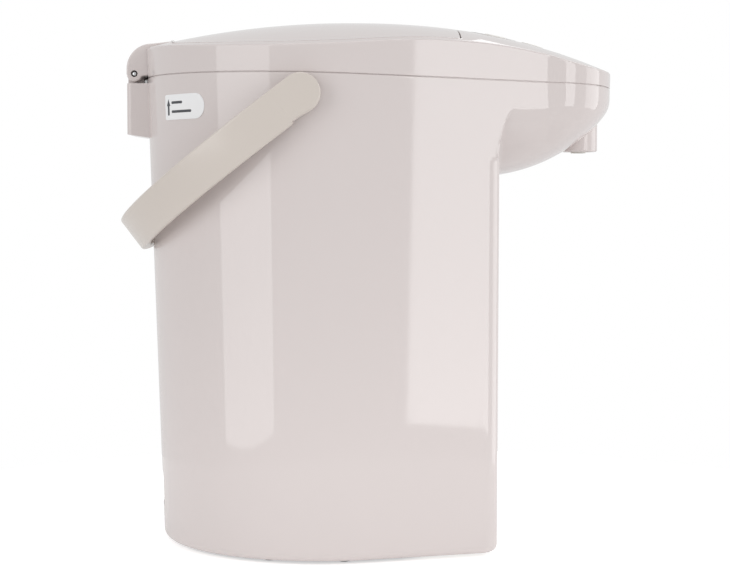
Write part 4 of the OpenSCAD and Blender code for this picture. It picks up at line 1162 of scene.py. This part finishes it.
class Tree:
    """A node tree, filled through one method."""

    def __init__(self, tree):
        self.tree = tree
        self.tree.nodes.clear()

    def add(self, kind, settings=None, inputs=None):
        node = self.tree.nodes.new(kind)
        for key, value in (settings or {}).items():
            setattr(node, key, value)
        for key, value in (inputs or {}).items():
            if isinstance(value, Value):
                value = value.socket
            if isinstance(value, bpy.types.NodeSocket):
                self.tree.links.new(value, node.inputs[key])
            else:
                node.inputs[key].default_value = value
        return node


class Paint(Tree):
    """One finish and its node tree."""

    def __init__(self, name):
        self.material = bpy.data.materials.new(name)
        self.material.use_nodes = True
        super().__init__(self.material.node_tree)
        self.output = self.add("ShaderNodeOutputMaterial")
        self.place = self.add("ShaderNodeTexCoord").outputs["Object"]

    def grain(self, scale, detail=3.0, stretch=(1, 1, 1)):
        """Soft noise from 0 to 1 over the object's own space, in grains per metre."""
        turned = self.add("ShaderNodeMapping", {"vector_type": "POINT"},
                          {"Vector": self.place, "Scale": stretch})
        noise = self.add("ShaderNodeTexNoise", {"noise_dimensions": "3D"},
                         {"Vector": turned.outputs[0], "Scale": scale, "Detail": detail,
                          "Roughness": 0.55})
        return Value(self, noise.outputs[0])

    def band(self, value, low, high):
        """0 below low, 1 above high, smooth between."""
        node = self.add("ShaderNodeMapRange", {"interpolation_type": "SMOOTHSTEP"},
                        {"Value": value, "From Min": low, "From Max": high})
        return Value(self, node.outputs[0])

    def blend(self, share, first, second):
        node = self.add("ShaderNodeMix", {"data_type": "RGBA", "blend_type": "MIX"},
                        {0: share, 6: first, 7: second})
        return node.outputs[2]

    def bump(self, height, distance):
        inputs = {"Height": height, "Distance": distance, "Strength": 1.0}
        return self.add("ShaderNodeBump", {}, inputs).outputs[0]

    def finish(self, **inputs):
        shader = self.add("ShaderNodeBsdfPrincipled", {},
                          {key.replace("_", " "): value for key, value in inputs.items()})
        self.tree.links.new(shader.outputs[0], self.output.inputs["Surface"])
        return self.material


def tint(colour, factor):
    return tuple(min(1.0, channel * factor) for channel in colour[:3]) + (1.0,)


def srgb(red, green, blue):
    """A colour picked on the screen, as the light values that shaders use."""
    def light(channel):
        share = channel / 255
        return share / 12.92 if share <= 0.04045 else ((share + 0.055) / 1.055) ** 2.4
    return (light(red), light(green), light(blue), 1.0)


# %% [markdown]
# Glossy moulded plastic is never quite even: the pigment drifts a little, the
# gloss dulls where hands and cloths pass, and the skin has a faint orange peel.
# The same recipe serves the shells, the satin handle and the matt inner parts.


# %% Moulded plastics, metal, rubber and the rest
def plastic(name, colour, rough, drift=0.03, peel=0.00004, peel_scale=420.0, wear=0.05):
    paint = Paint(name)
    cloud = paint.grain(9.0, 4.0)
    speck = paint.grain(900.0, 2.0)
    mixed = paint.blend(cloud * 0.8 + speck * 0.2, tint(colour, 1 - drift), tint(colour, 1 + drift))
    rub = paint.band(paint.grain(24.0, 5.0), 0.45, 0.75)
    gloss = rough + rub * wear + speck * (wear * 0.3)
    height = paint.grain(peel_scale, 2.0) * 0.7 + paint.grain(peel_scale * 5, 2.0) * 0.3
    return paint.finish(Base_Color=mixed, Roughness=gloss, Normal=paint.bump(height, peel), IOR=1.5)


def brushed_steel(name):
    paint = Paint(name)
    streak = paint.grain(60.0, 4.0, (1, 1, 22))
    cloud = paint.grain(18.0, 3.0)
    colour = paint.blend(streak * 0.6 + cloud * 0.4, srgb(190, 192, 195), srgb(222, 223, 224))
    return paint.finish(Base_Color=colour, Metallic=1.0, Roughness=0.22 + streak * 0.16,
                        Normal=paint.bump(streak, 0.00003))


def grained(name, grain, dark, pale, rough, spread, relief, edges=None, **more):
    """A finish whose colour, gloss and relief all follow one noise."""
    paint = Paint(name)
    value = paint.grain(*grain)
    if edges:
        value = paint.band(value, *edges)
    return paint.finish(Base_Color=paint.blend(value, dark, pale), Roughness=rough + value * spread,
                        Normal=paint.bump(value, relief), **more)


def rubber(name):
    paint = Paint(name)
    grain = paint.grain(1500.0, 3.0)
    dust = paint.band(paint.grain(35.0, 4.0), 0.5, 0.8)
    colour = paint.blend(dust * 0.5, srgb(62, 61, 60), srgb(96, 94, 91))
    return paint.finish(Base_Color=colour, Roughness=0.62 + grain * 0.25,
                        Normal=paint.bump(grain, 0.00012))


def clear_plastic(name):
    paint = Paint(name)
    haze = paint.grain(40.0, 4.0)
    colour = paint.blend(haze, srgb(226, 236, 238), srgb(240, 246, 247))
    return paint.finish(Base_Color=colour, Roughness=0.05 + haze * 0.06, Alpha=0.34 + haze * 0.08,
                        IOR=1.49, Normal=paint.bump(haze, 0.00003))


def ink(name, colour):
    return grained(name, (600.0, 3.0), colour, tint(colour, 1.35), 0.4, 0.2, 0.00001)


FINISHES = {
    "shell": plastic("shell_gloss", srgb(219, 210, 208), 0.03, 0.012, 0.000001, 120.0, 0.012),
    "handle_plastic": plastic("handle_satin", srgb(213, 204, 196), 0.2, 0.02, 0.00003, wear=0.06),
    "panel": plastic("panel_film", srgb(208, 200, 196), 0.22, 0.015, 0.00002, 900.0),
    "key": plastic("key_satin", srgb(236, 233, 229), 0.3, 0.015, 0.00004, 1200.0),
    "inner_plastic": plastic("inner_matt", srgb(228, 225, 219), 0.42, 0.03, 0.0001),
    "dark_plastic": plastic("dark_matt", srgb(52, 52, 55), 0.34, 0.12, 0.00008, 1100.0),
    "label": plastic("label_white", srgb(246, 246, 247), 0.28, 0.01, 0.00001, 1500.0),
    "steel": brushed_steel("steel_satin"),
    "copper": grained("copper_plain", (120.0, 4.0), srgb(196, 128, 84), srgb(222, 158, 108),
                      0.25, 0.2, 0.00004, Metallic=1.0),
    "rubber": rubber("rubber_black"),
    "insulation": grained("sleeve_felt", (700.0, 5.0, (1, 1, 0.25)), srgb(214, 208, 196),
                          srgb(240, 236, 226), 0.85, 0.1, 0.0006),
    "board": grained("board_green", (160.0, 1.0, (1, 4, 1)), srgb(22, 84, 50), srgb(44, 120, 72),
                     0.35, 0.1, 0.00006, (0.48, 0.52)),
    "clear": clear_plastic("window_clear"),
}
BLACK_INK = ink("ink_dark", srgb(62, 63, 68))
GREY_INK = ink("ink_grey", srgb(150, 146, 144))
SCREEN_LIGHT = ink("screen_figures", srgb(255, 176, 96))


def coat(thing, material):
    thing.data.materials.clear()
    thing.data.materials.append(material)


slot_of = {row["node"]: row["material_slot"] for row in frame["record"]["subparts"]}
for name, thing in nodes.items():
    coat(thing, FINISHES[slot_of.get(name, "inner_plastic")])
for thing in [o for o in bpy.data.objects if o.type == "MESH" and o.name not in nodes]:
    coat(thing, FINISHES[thing.get("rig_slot", "shell")])
for thing in label_print:
    coat(thing, BLACK_INK)
for thing in prints + [bpy.data.objects["gauge_scale"]]:
    coat(thing, GREY_INK)
coat(screen_digits, SCREEN_LIGHT)
print("finishes:", len(FINISHES) + 3)

# %% [markdown]
# ## Floor, light and camera
# The pot stands on a small pale table top in a white studio. Tall soft boxes to
# the left and right of the camera are mirrored as the two long highlights on the
# case, two more fill in from the beak's side and from behind, and one hangs above.
# The white surround is seen whole by the camera, somewhat dimmer by reflections,
# and lights the pot only gently.

# %% Table top
TABLE_R = 0.38
TABLE_GLOW = 0.55
HIDDEN_SHARE = 0.4
table_bm = bmesh.new()
bmesh.ops.create_circle(table_bm, cap_ends=True, segments=96, radius=TABLE_R)
table = piece("table_top", table_bm)
paint = Paint("table_white")
pale = paint.blend(paint.grain(3.0, 2.0), (0.88, 0.88, 0.88, 1), (0.92, 0.92, 0.92, 1))
matt = paint.add("ShaderNodeBsdfDiffuse", {}, {"Color": pale})
glow = paint.add("ShaderNodeEmission", {}, {"Color": (1, 1, 1, 1), "Strength": TABLE_GLOW})
both = paint.add("ShaderNodeAddShader", {}, {0: matt.outputs[0], 1: glow.outputs[0]})
seen = Value(paint, paint.add("ShaderNodeLightPath").outputs["Is Camera Ray"])
pick = paint.add("ShaderNodeMixShader", {}, {0: seen * (1.0 - HIDDEN_SHARE) + HIDDEN_SHARE,
                                             1: matt.outputs[0], 2: both.outputs[0]})
paint.tree.links.new(pick.outputs[0], paint.output.inputs["Surface"])
coat(table, paint.material)

# %% White surround
ROOM_LIGHT = 0.5
MIRRORED = 0.6
world = bpy.data.worlds.new("surround")
world.use_nodes = True
bpy.context.scene.world = world
sky = Tree(world.node_tree)
rays = sky.add("ShaderNodeLightPath").outputs
seen, through, glossy = (Value(sky, rays[f"Is {ray} Ray"]) for ray in ("Camera", "Transmission", "Glossy"))
bright = seen.most(through).most(glossy * MIRRORED)
strength = sky.add("ShaderNodeMapRange", {}, {"Value": bright, "To Min": ROOM_LIGHT, "To Max": 1.0})
white = sky.add("ShaderNodeBackground", {}, {"Color": (1, 1, 1, 1), "Strength": strength.outputs[0]})
sky.add("ShaderNodeOutputWorld", {}, {"Surface": white.outputs[0]})


# %% Soft boxes
def soft_box(name, turn, distance, low, high, width, radiance):
    """A rectangular lamp at an angle from the camera's direction, facing the pot."""
    tall = high - low
    lamp = bpy.data.lights.new(name, "AREA")
    lamp.shape = "RECTANGLE"
    lamp.size = width
    lamp.size_y = tall
    lamp.energy = radiance * math.pi * width * tall
    holder = bpy.data.objects.new(name, lamp)
    bpy.context.scene.collection.objects.link(holder)
    angle = math.radians(turn)
    holder.location = (distance * math.sin(angle), -distance * math.cos(angle), (low + high) / 2)
    aim = Vector((-holder.location.x, -holder.location.y, 0))
    holder.rotation_euler = aim.to_track_quat("-Z", "Y").to_euler()
    print(name, "power", round(lamp.energy, 1), "W")
    return holder


soft_box("left_box", -50.0, 1.7, -0.25, 1.37, 1.1, 1.7)
soft_box("right_box", 44.8, 1.7, -0.23, 1.37, 0.62, 2.9)
soft_box("front_fill", 100.0, 1.9, -0.3, 0.9, 1.2, 1.6)
soft_box("back_fill", 150.0, 1.6, 1.0, 2.2, 1.2, 0.9)
top_box = soft_box("top_box", 0.0, 0.1, 1.6, 2.6, 1.2, 1.7)
top_box.rotation_euler = (0, 0, 0)

# %% Camera, where the photographer stood
SENSOR = 36.0
LENS = 87.08
STANDS = (-0.00005, -1.08508, 0.20598)
LOOKS_DOWN = 2.948
camera_data = bpy.data.cameras.new("camera")
camera_data.sensor_width = SENSOR
camera_data.lens = LENS
camera = bpy.data.objects.new("camera", camera_data)
bpy.context.scene.collection.objects.link(camera)
camera.location = STANDS
camera.rotation_euler = (math.radians(90 - LOOKS_DOWN), 0, 0)
bpy.context.scene.camera = camera
bpy.context.scene.view_settings.view_transform = "Standard"
